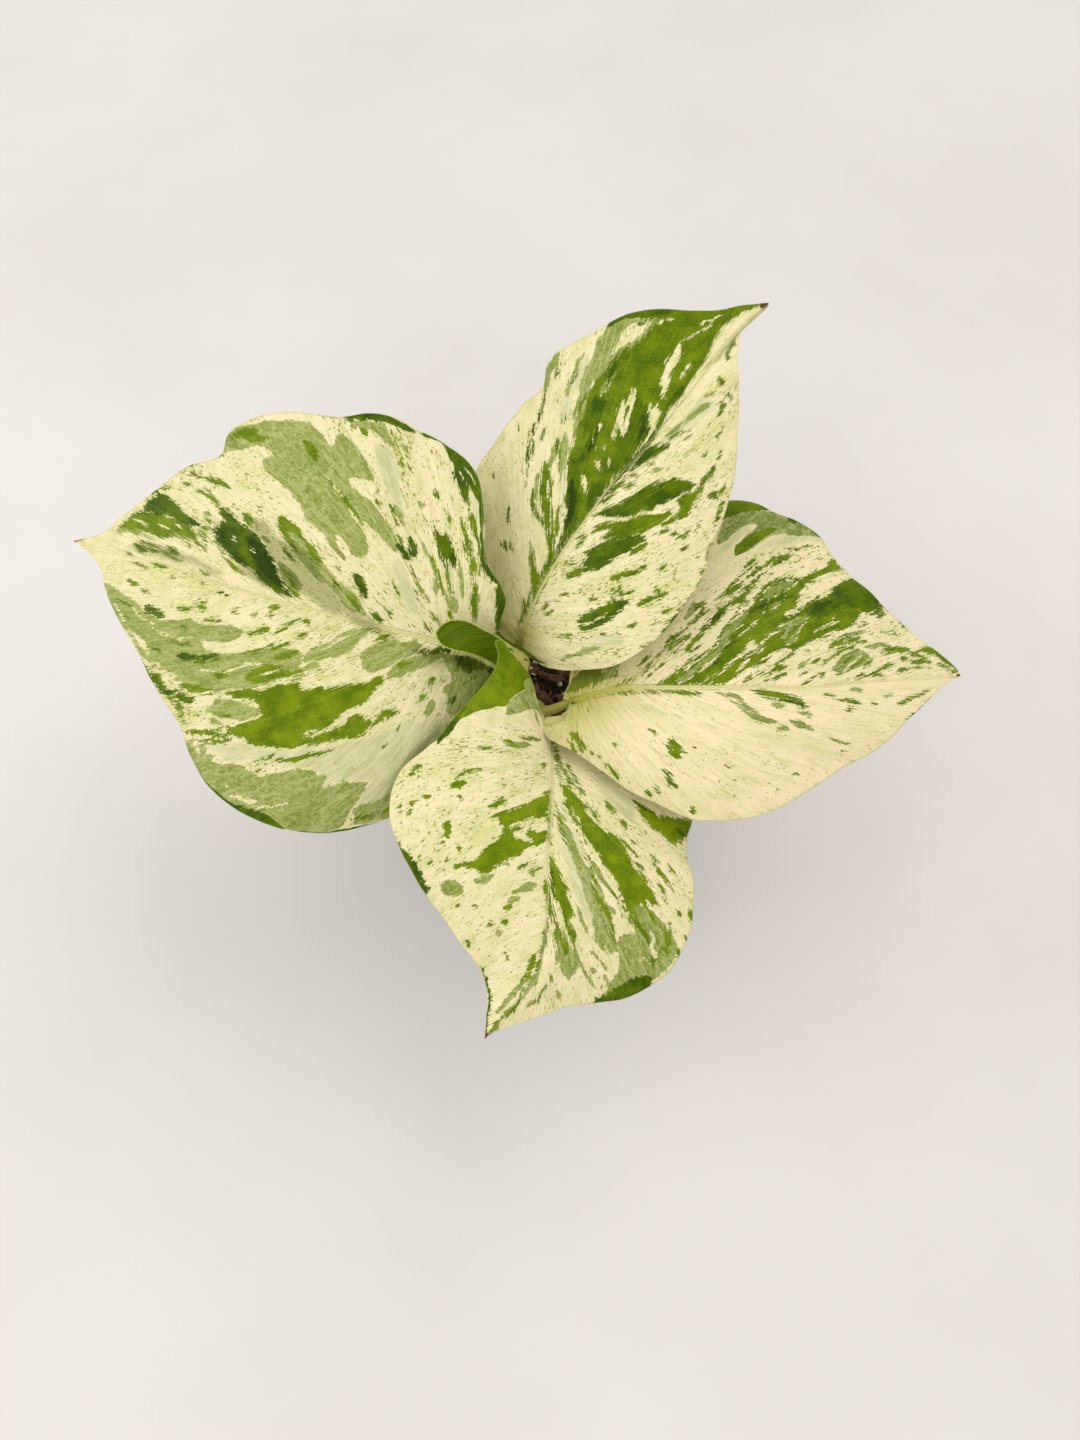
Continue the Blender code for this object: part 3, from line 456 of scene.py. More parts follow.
    "leaf_top": """
s : 597,341 604,333 612,327 622,322 632,320 645,319 660,317 672,313 682,312 676,317 664,320 656,322 658,325 650,331 643,338 636,344 628,347 622,353 617,359 612,365 604,371 598,378 592,383 588,390 585,398 580,400 580,386 582,377 586,369 592,360 596,351
s 6 : 604,334 620,322 645,316 672,313
g 2.4 : 640,318 664,315 690,315
c : 612,352 617,344 620,338 624,332 627,327 634,324 641,326 647,322 653,321 650,326 644,332 640,338 634,342 627,344 621,347 616,354 613,356
g 1.0 : 630,328 640,325 648,323
g 1.4 : 610,360 618,356
s 7 : 652,331 628,352 612,368 600,386 590,400 580,418 574,440
g 3.0 : 624,316 650,313 680,312 705,313 725,309
g : 656,326 664,321 678,317 700,314 716,312 735,306 752,303 764,303 748,310 734,318 724,327 716,337 710,350 702,364 694,377 685,388 677,399 669,411 661,425 650,436 640,447 628,460 616,474 606,488 597,502 588,514 580,525 572,536 564,545 560,540 564,528 566,512 565,495 566,478 567,464 570,452 574,446 575,436 578,427 582,418 586,407 589,396 593,386 598,379 606,371 614,364 619,358 624,352 630,347 638,343 645,336 650,331
d : 604,329 610,322 618,317 632,312 648,308 664,307 680,309 700,311 690,314 676,313 660,315 645,318 628,319 614,325
g : 664,309 690,309 712,310 730,306 700,314 680,313
s : 601,397 603,388 607,380 612,372 615,373 611,382 606,392
s : 574,422 577,408 582,396 588,388 591,386 588,396 584,408 580,418
g 1.3 : 578,416 581,405 586,394
c 1.0 : 684,341 694,334 706,327 714,322
c 0.7 : 699,323 714,318 728,312
g 1.4 : 690,331 704,326
c : 662,372 667,362 672,352 678,343 682,345 680,356 676,366 672,374 668,386 664,398 661,397 661,384
c : 613,430 616,418 618,408 622,404 622,398 628,398 632,392 635,388 637,392 636,402 632,410 629,420 627,430 624,440 621,438 620,428 618,422 616,434 614,443 610,436
g 1.4 : 626,402 627,414
c : 648,408 650,402 653,408 657,405 661,412 659,422 656,432 650,436 648,424
c 1.5 : 680,378 685,372
c 1.4 : 688,370 690,360
c 1.5 : 598,431 601,424
c 1.4 : 604,450 606,444
c 2.0 : 596,459 599,471
c 1.5 : 608,456 609,467
c 2.4 : 583,473 585,485 587,496
c 1.4 : 593,440 597,450
d : 634,404 640,400 647,405 648,415 650,430 645,442 636,452 626,463 616,475 609,470 614,458 618,447 624,441 628,426 632,414
d : 582,426 588,412 590,400 597,397 602,402 600,414 596,424 590,432 582,440 577,438
d 0.7 : 546,392 541,408 534,430 528,450 525,468 525,486
d 2.6 : 575,470 584,458 592,446
d 2.4 : 620,352 612,370 606,386
g 3.0 : 660,330 646,350 636,372
k 1.4 : 643,416 643,428 638,440
d : 567,464 573,455 578,470 580,490 578,510 572,530 564,543 563,530 566,510 566,490
d : 591,484 600,480 607,488 598,501 590,513 586,512 588,498
d 3.0 : 606,400 596,425 588,445
d 3.0 : 694,372 684,386 674,400 664,416
d 2.2 : 712,340 706,354 698,368
c 1.8 : 683,378 684,372
g 2.4 : 586,412 582,428 577,440
s : 571,424 579,408 586,396 582,392 576,402 571,414
s 2.2 : 571,440 566,458 564,478
m : 556,440 566,430 570,444 566,470 562,480 558,462
g : 543,462 548,461 551,475 552,490 552,505 550,520 552,535 554,550 557,560 553,567 549,556 548,545 546,530 543,518 541,500 540,480
c 1.2 : 548,482 549,500
g 1.8 : 541,474 542,490
s 3.0 : 533,489 537,501
g 2.4 : 534,512 540,520 547,530
g 1.0 : 560,440 562,461
s 3.4 : 556,444 553,458
g 1.3 : 556,442 557,452
g : 530,543 533,552 536,566 539,578 539,587 536,597 533,600 531,590 531,575 530,560
g 1.8 : 524,600 526,613
g 1.4 : 560,505 556,522 557,538
g 1.2 : 552,508 551,530
g 2.0 : 580,524 565,545 553,562 545,580 537,598 530,615
d 1.4 : 510,508 508,517 508,526
g 2.2 : 503,541 507,550
g 1.4 : 511,541 511,549
s : 543,394 542,380 545,370 549,362 554,355 560,351 560,356 556,363 552,371 549,380 546,391
g 1.2 : 556,378 557,368 560,358
g 1.4 : 540,441 545,430
g 1.0 : 545,394 541,415
g 1.1 : 534,438 529,458 527,478
g 1.6 : 566,413 563,423
g 1.2 : 586,357 582,366
g 1.2 : 546,426 540,441
s 1.8 : 558,360 555,380
g 1.0 : 517,424 517,430
g 0.9 : 493,470 493,478
s 2.0 : 540,470 536,486
m : 700,398 712,398 716,406 704,416 692,426 680,436 670,438 674,430 686,416
s 3.4 : 710,403 698,412 686,424
g 2.2 : 666,432 674,429
d : 640,456 646,448 656,444 668,441 670,446 662,450 654,456 646,461 637,464
d : 634,466 640,457 647,450 657,444 668,442 669,447 662,452 653,458 643,464 636,469
d 2.6 : 639,465 646,457 655,450
m 5.0 : 658,446 676,434 694,422
s 2.2 : 664,437 676,429 688,422
g 1.0 : 668,440 680,434 690,430
s 1.4 : 684,441 694,434
d 2.6 : 656,431 647,442 638,454 628,466 618,479 608,491 599,503
d 2.0 : 664,443 656,447 648,454 641,462 633,469 626,475
g 1.5 : 628,474 618,485 610,495 604,503
m 5.0 : 590,352 578,372 568,396 562,420
s 1.6 : 584,352 574,372 566,392
s 1.4 : 572,380 566,400
g 0.9 : 580,366 572,384
s 3.2 : 566,432 563,448 562,462 561,476
g 1.1 : 558,440 559,456 558,470
m 3.0 : 566,440 565,470 563,500
s 2.2 : 567,440 565,456 563,470 562,484
s 2.0 : 576,545 588,536
g 1.2 : 578,539 586,532
g 1.3 : 574,549 584,542
g 1.3 : 626,396 627,410 624,424
g 1.4 : 624,474 632,477 640,475
g 1.5 : 622,487 630,485 636,484
s 2.2 : 652,470 658,469 664,469
g 1.0 : 648,466 654,463
g 1.3 : 611,496 620,486 628,474
g 2.6 : 720,377 723,388
g 1.2 : 735,340 730,352 726,361
g 2.4 : 718,418 721,409 724,399
g 1.5 : 705,398 714,391
g 1.0 : 716,440 722,430
g 1.6 : 702,456 708,453
g 2.0 : 728,392 731,400
d : 592,517 604,510 620,504 634,498 640,490 650,486 662,481 676,479 690,481 696,485 686,492 676,498 668,497 658,504 640,514 628,517 612,516
g : 676,500 690,494 700,488 702,480 708,472 714,465 712,474 706,484 700,494 692,502 691,512 685,520 679,518 680,508
c 1.2 : 680,499 690,490 698,485
d : 606,513 613,508 623,501 633,495 640,491 648,486 660,482 673,478 682,481 691,483 690,487 680,493 672,498 663,504 653,508 640,513 627,516 615,516
c : 648,514 656,508 668,504 664,510 654,515
d : 585,553 592,546 606,542 622,536 636,530 645,538 636,546 626,552 612,560 604,566 598,570 590,571 583,572 584,562 588,558
g : 593,532 598,526 606,524 618,522 628,522 640,516 652,514 662,513 668,510 672,515 660,522 648,530 636,536 622,538 606,540 600,538 612,530 604,530
g 1.8 : 661,525 672,520 683,512
g 2.2 : 660,532 668,530 677,534
g 2.2 : 675,540 686,536 690,528
g 1.4 : 693,530 701,521
g 2.6 : 629,556 638,549 647,542
g 3.0 : 566,578 575,572 586,567
g 1.6 : 566,563 573,564
g 1.4 : 578,577 583,577
g 3.2 : 609,578 618,575 628,574 638,572
g 1.8 : 612,579 622,580
g 1.2 : 611,593 622,588
g 1.2 : 612,597 623,593
g 1.0 : 625,595 632,591
g 2.2 : 641,568 647,567
g 1.2 : 658,570 666,565
g 2.6 : 637,606 646,601 656,595
g 2.2 : 645,600 655,597 668,595
g 2.4 : 655,594 660,592
d : 579,618 585,614 595,610 606,604 616,600 626,598 628,604 620,611 612,619 601,626 594,628 588,632 580,631 580,626
c 1.1 : 582,626 592,622 600,618 607,613
g 1.8 : 629,628 636,624
g 1.8 : 611,636 620,633
d 1.3 : 600,633 606,634
g 2.0 : 541,611 549,604
g 1.6 : 546,616 554,611
g 1.4 : 554,602 561,600
g 1.4 : 560,593 567,594
g 1.2 : 590,600 598,600
g 1.2 : 662,614 669,610
g 1.2 : 681,552 688,546
m : 586,641 600,634 618,634 622,641 606,648 592,648
s 2.6 : 568,658 584,652 602,646
m 2.6 : 540,660 556,658 572,658
s 2.0 : 560,660 574,655
g 1.1 : 560,636 572,635
g 1.4 : 716,501 721,492 725,485
g 1.2 : 714,526 719,515 723,500
g 2.8 : 709,499 717,491
g 1.0 : 718,460 722,448
s 1.8 : 712,540 708,551 707,562
d 1.2 : 706,566 703,577 696,590 684,607 668,628 655,641 641,649
g 1.0 : 545,570 541,582
c 3.0 : 726,330 718,345 708,362
d 3.0 : 567,538 557,553 549,567
k 2.6 : 573,526 565,540 558,552
g 2.2 : 533,491 532,500 535,510 541,519 548,527
s 2.4 : 556,450 553,460 549,470
s 1.6 : 566,442 563,452 562,464
m 2.6 : 566,468 562,480 560,494
g 1.8 : 550,518 553,538 556,554
g 1.2 : 549,560 546,574
d 2.8 : 578,516 568,530 560,544
g 2.6 : 562,541 552,556 543,572
g 2.0 : 545,569 537,584 530,598
g 1.5 : 532,594 525,610 520,624
s 2.0 : 540,470 537,482 536,492
k 3.2 : 572,478 573,496 570,514 566,530
k 1.6 : 600,424 594,440 588,452
d 1.8 : 492,630 505,639 520,649 535,659 546,665
o 8 : 604,328 622,318 640,314 664,312 700,313 735,309
h 6 : 496,620 508,634 520,646
h 3 : 520,626 514,642
o 5 : 488,627 505,639 520,649 535,659 552,669 575,673
""",
    "leaf_right": """
o : 716,498 740,497 770,508 800,518 824,538 826,548 790,546 760,552 735,562 716,560
g : 718,523 721,497 735,496 752,500 764,505 772,509 755,510 744,513 734,517
s : 716,546 719,534 722,523 735,516 750,511 765,509 780,512 795,516 808,522 818,531 823,540 812,537 800,536 788,536 782,534 775,535 765,539 756,545 748,551 735,556 733,551 741,541 752,531 758,524 750,523 740,529 730,538
m : 718,550 724,544 732,534 742,528 749,525 752,529 745,535 737,542 730,548
g : 733,552 737,545 745,538 755,532 768,528 778,527 772,533 762,539 752,546 742,553 735,555
d 2.6 : 787,518 792,521 799,521
d 1.3 : 780,513 795,519 808,525 815,533 822,543
m : 762,547 770,540 780,535 784,532 790,536 805,535 818,537 823,543 808,540 795,542 782,546 772,549
g 0.9 : 784,550 798,549 812,546 824,547
g 1.0 : 803,547 814,546
g : 770,567 774,561 780,556 789,554 787,559 781,564 774,568
g 1.6 : 743,572 748,565 754,558
g 1.0 : 741,575 750,568 760,560
g 1.2 : 753,572 765,564 776,556
g 1.5 : 727,590 733,584 741,578
g 1.0 : 716,600 730,590 746,579 758,570 768,563
g 1.1 : 722,598 738,588 752,579 764,573
g 1.9 : 760,577 765,574 770,573
g 1.5 : 746,590 752,587 757,584
g 1.0 : 748,585 758,579
g 1.4 : 734,594 744,589 752,584
g 1.8 : 717,613 727,606 737,600 748,594
g 1.3 : 756,600 758,593
g 2.6 : 706,626 714,619 722,612 728,606 735,602
d 1.8 : 698,634 706,625 716,617 726,609
g 1.4 : 738,608 746,603 754,599
s : 683,619 687,612 692,606 694,600 698,603 702,602 699,609 693,615 688,620
g 2.0 : 697,610 702,606 707,603
g 1.3 : 688,626 700,616 710,609 718,602
d 1.1 : 622,685 632,681 641,676 648,667 655,661
g 1.0 : 655,661 662,651 668,642 676,636 686,629 696,619
g 2.2 : 667,643 672,638 678,634
g 1.3 : 665,651 671,646 675,642
g 2.0 : 678,645 684,640 691,633
g 2.8 : 686,653 690,645 696,639 703,634
d 1.4 : 697,640 703,635
g 1.6 : 671,655 677,651
g 1.7 : 659,668 665,664
g 1.3 : 690,653 697,648 702,645
g : 708,627 714,621 719,616 722,618 718,624 712,627
g : 656,683 664,678 672,674 678,668 684,664 692,659 700,655 706,651 714,646 717,640 719,632 724,625 730,618 738,613 748,609 753,604 757,598 760,590 765,585 772,581 780,579 790,577 800,578 808,575 815,572 822,570 828,565 829,561 834,560 837,564 843,568 836,572 826,574 818,577 812,582 806,586 800,590 797,595 799,600 797,606 790,611 783,616 790,616 800,610 806,605 812,602 820,597 830,593 836,588 840,583 848,579 858,581 868,588 876,597 884,606 876,607 868,607 863,611 858,618 853,625 843,629 832,632 822,636 810,641 803,647 795,650 783,648 775,651 768,656 758,663 748,669 738,675 730,681 722,684 700,685 680,685 664,685
s : 704,657 712,651 718,645 720,634 726,626 734,619 744,613 749,613 745,620 737,628 731,636 726,645 720,653 712,660 702,668 692,677 684,682 676,682 684,672 693,664
s : 762,599 766,589 774,584 786,581 797,582 791,588 780,594 770,600
s : 782,628 790,620 800,616 812,612 808,620 800,628 797,636 794,644 786,646 782,638
g 1.4 : 788,640 794,630 802,622
g 2.8 : 758,655 766,648 776,640 786,632
d : 833,584 842,579 852,580 862,586 871,594 880,603 886,612 880,617 868,613 858,608 848,606 840,602 833,596
g 3.4 : 800,626 812,632 824,628
s 1.6 : 770,636 782,628 794,622
s 3.4 : 763,613 773,605 785,598
g 0.9 : 766,610 774,604
s 2.6 : 735,660 746,650 756,640
s 1.8 : 742,664 754,654 764,646
s 1.4 : 812,632 826,626 838,622
g 1.9 : 571,733 577,742 582,752
g 1.3 : 568,739 573,750 578,757
s 1.2 : 700,668 712,658 722,650
d : 805,612 812,604 820,598 830,595 838,599 842,603 836,610 828,615 820,617 810,617
k 2.6 : 812,610 824,605 836,603
d 2.6 : 750,612 764,605 778,600 790,595 797,590
d 2.2 : 783,620 793,613 804,606
d 1.8 : 724,648 730,642 738,636
d 2.0 : 706,673 712,664 720,656
d 1.6 : 690,668 697,661 702,657
g 1.6 : 740,652 748,646 756,640
c : 700,644 706,634 712,627 719,621 727,616 734,612 736,615 731,619 725,625 720,632 717,640 712,646 706,650 701,650
c : 743,652 747,645 750,639 753,641 754,645 759,645 756,649 750,652
c 1.3 : 739,634 745,629 751,627
c 1.7 : 753,624 757,621
c 0.9 : 759,645 768,638 778,630
c : 799,607 796,599 803,592 810,586 818,580 826,576 838,574 847,575 851,578 843,581 836,587 832,592 824,595 816,598 806,600 802,606 794,612 786,616 783,616 790,611
c 2.0 : 833,616 835,618
c 1.4 : 812,634 818,630
c 1.0 : 827,588 838,586
c 1.8 : 743,596 750,594 757,595
c 1.2 : 742,606 748,603
c 1.2 : 724,669 735,660 743,652
c 1.3 : 703,682 712,677 722,671 728,666
c 1.2 : 736,672 744,664 752,658
c 1.4 : 728,684 736,681 742,676
c 1.0 : 688,665 697,656 704,652
c 0.8 : 700,672 710,664 720,655
c 0.9 : 672,678 682,668 690,661
g 1.2 : 781,662 790,654 800,648
g 2.0 : 776,671 781,668 787,665
g 1.3 : 768,675 775,668 779,662
g 1.8 : 743,682 749,678 753,675
g 1.4 : 757,676 764,670
g 1.6 : 772,680 779,676 786,675
g 1.2 : 757,664 764,660 770,657
g 1.2 : 762,681 768,678
g 1.6 : 806,651 810,650
g 1.1 : 802,662 804,668
g 1.4 : 812,662 819,658
g 1.6 : 798,675 806,671
g 1.3 : 802,684 812,679 816,677
g 1.8 : 820,679 825,674
s 2.2 : 797,670 804,664 812,659
s 1.8 : 822,666 830,658 837,653
s : 832,668 838,660 844,654 852,650 858,648 864,650 869,655 864,663 857,668 848,672 838,675
g 1.6 : 838,668 846,662 854,656
g 1.2 : 848,670 856,665 863,659
c 0.8 : 842,672 852,664 862,655
s 1.6 : 862,668 868,662 874,657
g : 828,647 834,641 842,636 852,633 859,635 858,640 850,643 842,646
g 1.2 : 846,653 853,646 861,641
g 1.4 : 834,656 842,650 849,647
g 1.2 : 822,637 831,634
g 1.8 : 860,643 866,640
g 2.0 : 855,678 862,675 868,676 876,674 884,676
g 2.0 : 876,673 882,668 888,666 895,666
g 1.3 : 864,664 871,661
g 1.4 : 836,675 843,672
g 1.8 : 868,614 877,612 888,615
g 1.2 : 876,609 884,612
g 1.1 : 861,623 867,620
g 1.0 : 889,629 896,633 900,634
g 1.6 : 902,648 916,655 930,663
s 2.4 : 843,641 856,634 868,630
s 2.2 : 866,647 880,644 892,648
g 1.2 : 850,640 862,636
s 1.2 : 880,631 892,634 899,636
g 0.9 : 857,628 868,624
g : 881,654 886,649 895,647 906,648 914,651 922,649 920,653 906,653 893,653
g : 918,650 926,648 934,650 942,654 950,659 958,667 964,674 957,671 948,664 940,659 930,655 922,654
g 1.8 : 901,656 906,661
g 2.6 : 908,662 917,663 927,661
g 1.6 : 898,672 904,669 910,670
g 1.0 : 938,665 950,667
g 0.9 : 946,670 962,672
g 0.9 : 912,668 930,668
g 1.0 : 862,580 871,590 881,601 891,612
g 0.8 : 893,614 900,621 908,629
d : 568,691 570,681 574,672 581,667 592,666 603,667 599,673 592,681 584,688 575,692
g : 598,668 607,665 619,662 617,674 606,681 596,686 588,689 594,680
s : 602,668 610,665 619,663 616,672 606,680 596,686 592,686 600,677
d : 577,688 576,681 580,675 588,671 600,669 602,672 597,679 590,685 583,689
c 1.4 : 568,692 569,685 572,677 577,671 585,667
o 7 : 572,686 582,678 598,672
g 1.0 : 607,672 600,680 593,686
g 1.6 : 612,678 618,675
g 1.0 : 607,689 620,684 632,678
g 1.2 : 621,679 627,676
g 1.0 : 640,686 660,685 680,684 700,684 718,684 727,682
g 1.0 : 636,667 645,660 653,654
g 1.2 : 646,676 655,671
d : 752,690 768,691 782,695 796,699 808,707 796,704 780,701 764,697
g : 749,689 765,689 780,693 795,696 803,700 809,708 800,705 790,700 775,699 765,697 756,693
s : 715,692 730,693 742,698 750,705 760,714 768,718 779,722 772,724 760,722 750,717 740,709 728,700
c 0.9 : 728,697 744,707 758,717
s 2.6 : 770,704 786,706
s 2.8 : 776,728 791,729
s 2.4 : 789,721 804,726 815,731
s 2.2 : 799,712 813,716
g 1.3 : 609,694 625,693 645,692 665,692
g 1.9 : 663,692 680,692 692,695 703,693
g 1.5 : 823,695 836,698
g 1.5 : 837,700 848,701 859,702
s 2.4 : 849,690 863,691
g 1.5 : 845,710 854,709
g 1.1 : 869,704 877,704
g 1.5 : 898,704 912,698 922,693 931,688
s 1.5 : 884,696 894,694
g : 668,738 676,740 681,746 679,752 683,758 676,759 669,755 672,748
g 1.0 : 667,745 674,752
g 2.3 : 662,770 668,776 673,781
g 1.8 : 668,783 678,788
g 1.8 : 654,787 661,794
g 1.6 : 645,791 654,797
g 1.4 : 683,750 687,751
g 2.8 : 571,733 579,740 586,749
g 1.2 : 590,752 600,758
g 1.5 : 605,764 612,770 618,778
g 1.2 : 650,730 658,735
g 1.1 : 614,741 618,745
g 1.2 : 725,765 730,768
g 1.0 : 839,751 846,752
g 1.0 : 793,775 799,773
g 2.0 : 690,808 696,812
g 1.2 : 587,711 590,709
m 1.6 : 700,722 715,727 728,733
m 1.4 : 640,705 660,712 684,718
m 1.2 : 748,752 770,760
s 1.4 : 830,739 842,742 852,744
d : 906,720 914,714 922,707 929,699 936,693 944,687 938,696 930,706 920,714
""",
    "leaf_front": """
g : 490,632 506,632 518,648 528,660 538,674 535,680 528,680 524,683 526,688 519,693 511,698 506,705 500,706 480,711 462,718 449,729 440,738 428,744 436,728 452,708 464,696 478,682 488,668 490,650
d 3.0 : 436,744 446,732 460,716
d 1.6 : 436,740 452,722 468,704
s : 505,715 506,706 511,699 519,694 526,689 524,681 529,678 534,678 542,690 548,700 546,716 540,714 534,709 529,709 520,712 512,715
o : 490,630 506,634 545,672 552,722 536,726 500,724 470,728 432,750 424,744 450,714 484,680
s 1.0 : 532,708 536,718 540,728
g 0.8 : 536,706 541,716
g 1.4 : 520,738 530,738 541,740
s 3.0 : 503,743 515,746 531,744
g 1.2 : 505,741 518,746
g 1.2 : 481,748 491,749
g 2.6 : 408,776 415,769 423,764
g 1.4 : 454,779 468,771 483,768
g 4.2 : 451,787 458,783 465,782
g 2.3 : 541,769 547,765
g 1.0 : 503,785 508,784
g 2.8 : 491,807 500,802 507,800
g 2.3 : 425,799 431,795
g 2.3 : 408,806 415,803
g 1.5 : 401,805 399,813
g 1.4 : 409,815 414,812
g 1.8 : 458,797 463,799
g : 490,818 500,812 515,808 530,802 543,796 550,789 550,800 549,810 546,816 535,818 525,820 520,824 530,830 538,832 546,828 548,835 544,842 535,845 528,848 522,852 515,858 505,862 498,866 492,870 485,872 476,870 470,866 478,858 485,850 492,844 500,838 505,832 502,826 498,820
c : 508,826 520,822 535,821 546,818 548,823 538,828 530,828 525,835 535,841 525,843 515,837
g 1.4 : 512,830 522,828
g 1.6 : 537,832 544,838
g 3.0 : 454,867 466,864 478,867
g 1.6 : 444,861 452,860
g 2.4 : 427,865 432,860
g 2.3 : 456,850 461,848
g 3.6 : 445,822 448,830 446,838
g 2.0 : 440,843 445,842
s 4.2 : 474,882 485,879 494,876
s : 440,884 448,880 456,881 464,886 462,894 454,898 445,896 440,890
s 4.0 : 511,893 524,888 537,883
s 3.0 : 507,901 520,898
g 2.8 : 504,909 513,907
g 2.8 : 501,923 507,920
g 2.8 : 488,925 496,924
s 2.2 : 498,930 499,937
g 1.9 : 518,869 526,864
s 2.6 : 503,864 510,863
g 1.4 : 472,906 478,905
g 1.2 : 483,916 484,919
g 1.1 : 457,909 460,903
g 1.3 : 506,953 507,958
g 1.1 : 467,940 470,946
g 1.1 : 527,874 540,868
d : 396,839 403,850 412,858 418,868 424,876 428,888 426,897 420,893 413,882 405,868 399,856
d 1.4 : 482,967 487,983 489,1000 487,1018 484,1036
s 3.0 : 585,862 596,884 605,908
s 2.4 : 566,900 568,920 573,940
s 2.0 : 578,905 582,920 588,934
g 1.0 : 590,868 600,888
g 1.0 : 566,905 567,925
g 1.5 : 551,800 549,822 550,846
c 1.6 : 553,796 556,806
g 3.0 : 546,880 549,900 551,916
g 2.0 : 556,862 561,884 566,905
g 1.6 : 562,915 572,934 576,950
g 1.6 : 549,918 546,935 541,957
g 1.2 : 534,962 528,980 520,996
g 1.4 : 506,1012 498,1022 490,1032
g 1.8 : 541,956 538,972 531,988
s 3.6 : 539,972 531,984 524,996
g 2.6 : 535,955 527,977 519,990
g 2.2 : 524,996 512,1010 500,1020
g 2.0 : 500,1022 493,1031 487,1037
s 2.4 : 514,990 505,1004 496,1014
s 3.0 : 508,1000 518,988 528,978
g 1.3 : 545,985 538,1000 526,1006
g : 560,806 566,800 563,792 562,782 570,786 577,797 584,806 590,818 600,826 612,834 622,842 628,855 636,868 646,880 652,894 657,905 652,908 646,899 648,912 651,925 655,930 660,924 670,935 673,950 668,959 660,950 650,940 642,930 632,922 626,905 618,885 606,868 596,850 586,838 575,822 566,812
s : 632,905 645,905 655,915 665,925 673,935 677,950 669,966 656,979 641,986 628,993 610,1001 597,1003 602,995 612,985 618,972 620,955 618,940 622,935 635,935 634,920
c 0.9 : 640,962 648,956 655,962
c 0.9 : 628,968 636,978
c 1.3 : 644,936 650,932 654,940 650,948 656,956 652,964 646,958
m : 602,926 610,922 617,930 616,946 608,950 604,940
g 2.0 : 664,925 668,940 666,955
d : 592,1006 598,999 608,994 618,987 630,981 646,976 654,978 650,990 636,998 622,1002 606,1006
o 6 : 594,1004 620,998 648,982 668,960
g : 550,855 556,862 560,872 563,882 566,892 570,905 574,915 566,923 562,914 558,902 553,890 551,872
d 1.2 : 551,858 552,880 556,898
g 2.0 : 551,904 553,916
s : 556,928 565,931 570,944 576,950 580,958 575,972 568,981 562,973 558,956 556,940
g 3.6 : 562,936 565,955
m : 556,815 566,830 580,860 590,890 598,915 600,935 590,925 578,900 570,875 560,850
s : 566,835 575,845 585,860 592,880 600,900 608,915 615,935 619,949 608,956 604,945 600,930 592,915 586,900 580,880 575,862 568,850
g 1.4 : 604,905 612,924 616,944
g 2.0 : 592,884 600,900 606,914
g 2.2 : 628,905 640,925 650,945
g 1.6 : 646,965 656,958 664,946
s 2.6 : 590,860 600,876 611,892
s 2.2 : 606,905 616,916
s 2.0 : 555,800 561,820 568,842
s 1.6 : 571,806 580,828 588,848
g 1.2 : 556,812 561,830 567,848
g 1.0 : 566,800 572,818 580,836
g 1.0 : 580,842 588,860 594,876
s 2.0 : 553,742 556,765 562,790
g 1.2 : 559,760 565,775 575,786
g 1.8 : 556,743 557,755 560,769
g 1.6 : 566,764 572,775 578,786
g 1.4 : 577,784 584,796
g 1.2 : 588,806 600,822
g 3.0 : 607,799 611,806 615,813
g 2.0 : 621,821 626,828
g 1.5 : 632,840 637,846
g 1.2 : 636,862 642,872
g 1.1 : 596,822 606,836
g 1.1 : 630,848 640,862
g 1.0 : 620,838 630,850
g : 634,801 645,806 655,812 662,815 668,817 680,820 692,821 691,832 684,840 676,843 668,840 660,832 652,828 645,822 639,812
c 1.2 : 657,811 661,819
d 2.0 : 676,828 684,834 690,828
d 1.8 : 640,806 652,814
g 1.8 : 651,855 658,868 666,880 676,892
g 1.5 : 660,884 665,895 668,903
g 1.5 : 668,864 674,873
g 1.8 : 690,911 692,921
g 1.5 : 676,909 681,916
g 1.8 : 668,922 670,938
g 1.3 : 684,934 688,941
g 1.2 : 678,948 677,957
s 2.6 : 594,966 592,976
s 2.6 : 604,974 606,980
s 2.0 : 612,945 614,952
m : 596,772 612,784 626,796 634,806 634,824 622,816 608,802 598,786
c 1.6 : 584,958 590,972 600,984
m 3.0 : 560,800 572,830 590,868
s 3.0 : 562,816 570,838 580,858
s 2.6 : 604,986 620,979 636,973 648,971
g 1.6 : 553,905 556,925 556,945
s 2.4 : 561,925 561,945 556,965
s 3.4 : 592,915 598,935 603,952
g 1.0 : 560,930 562,948
s 1.8 : 578,955 586,975 598,990
s 1.4 : 590,950 600,960 608,972
g 1.4 : 552,975 554,985
s 1.6 : 556,990 560,1000
g 1.3 : 640,896 648,912 656,925
g 1.0 : 612,890 622,905 630,920
""",
}

# How much fine green speckle each half carries, near the base and near the tip.
SPECKLE = {
    "leaf_left": dict(far=(0.60, 0.50), near=(0.62, 0.42)),
    "leaf_top": dict(far=(0.36, 0.34), near=(0.60, 0.38)),
    "leaf_right": dict(far=(0.50, 0.50), near=(0.34, 0.08)),
    "leaf_front": dict(far=(0.62, 0.20), near=(0.50, 0.42)),
}


# ------------------------------------------------------------------------------------------------ drawing frame
def seen_point(stations):
    """Places in millimetres of points seen at (across, down) at a given height."""
    s = np.asarray(stations, float)
    a, b = s[..., 0] - MIDDLE[0], s[..., 1] - MIDDLE[1]
    ray = np.stack(
        [
            a,
            REACH * math.cos(LOOK_DOWN) - b * math.sin(LOOK_DOWN),
            -(REACH * math.sin(LOOK_DOWN) + b * math.cos(LOOK_DOWN)),
        ],
        axis=-1,
    )
    t = (s[..., 2] - EYE[2]) / ray[..., 2]
    return EYE + ray * t[..., None]


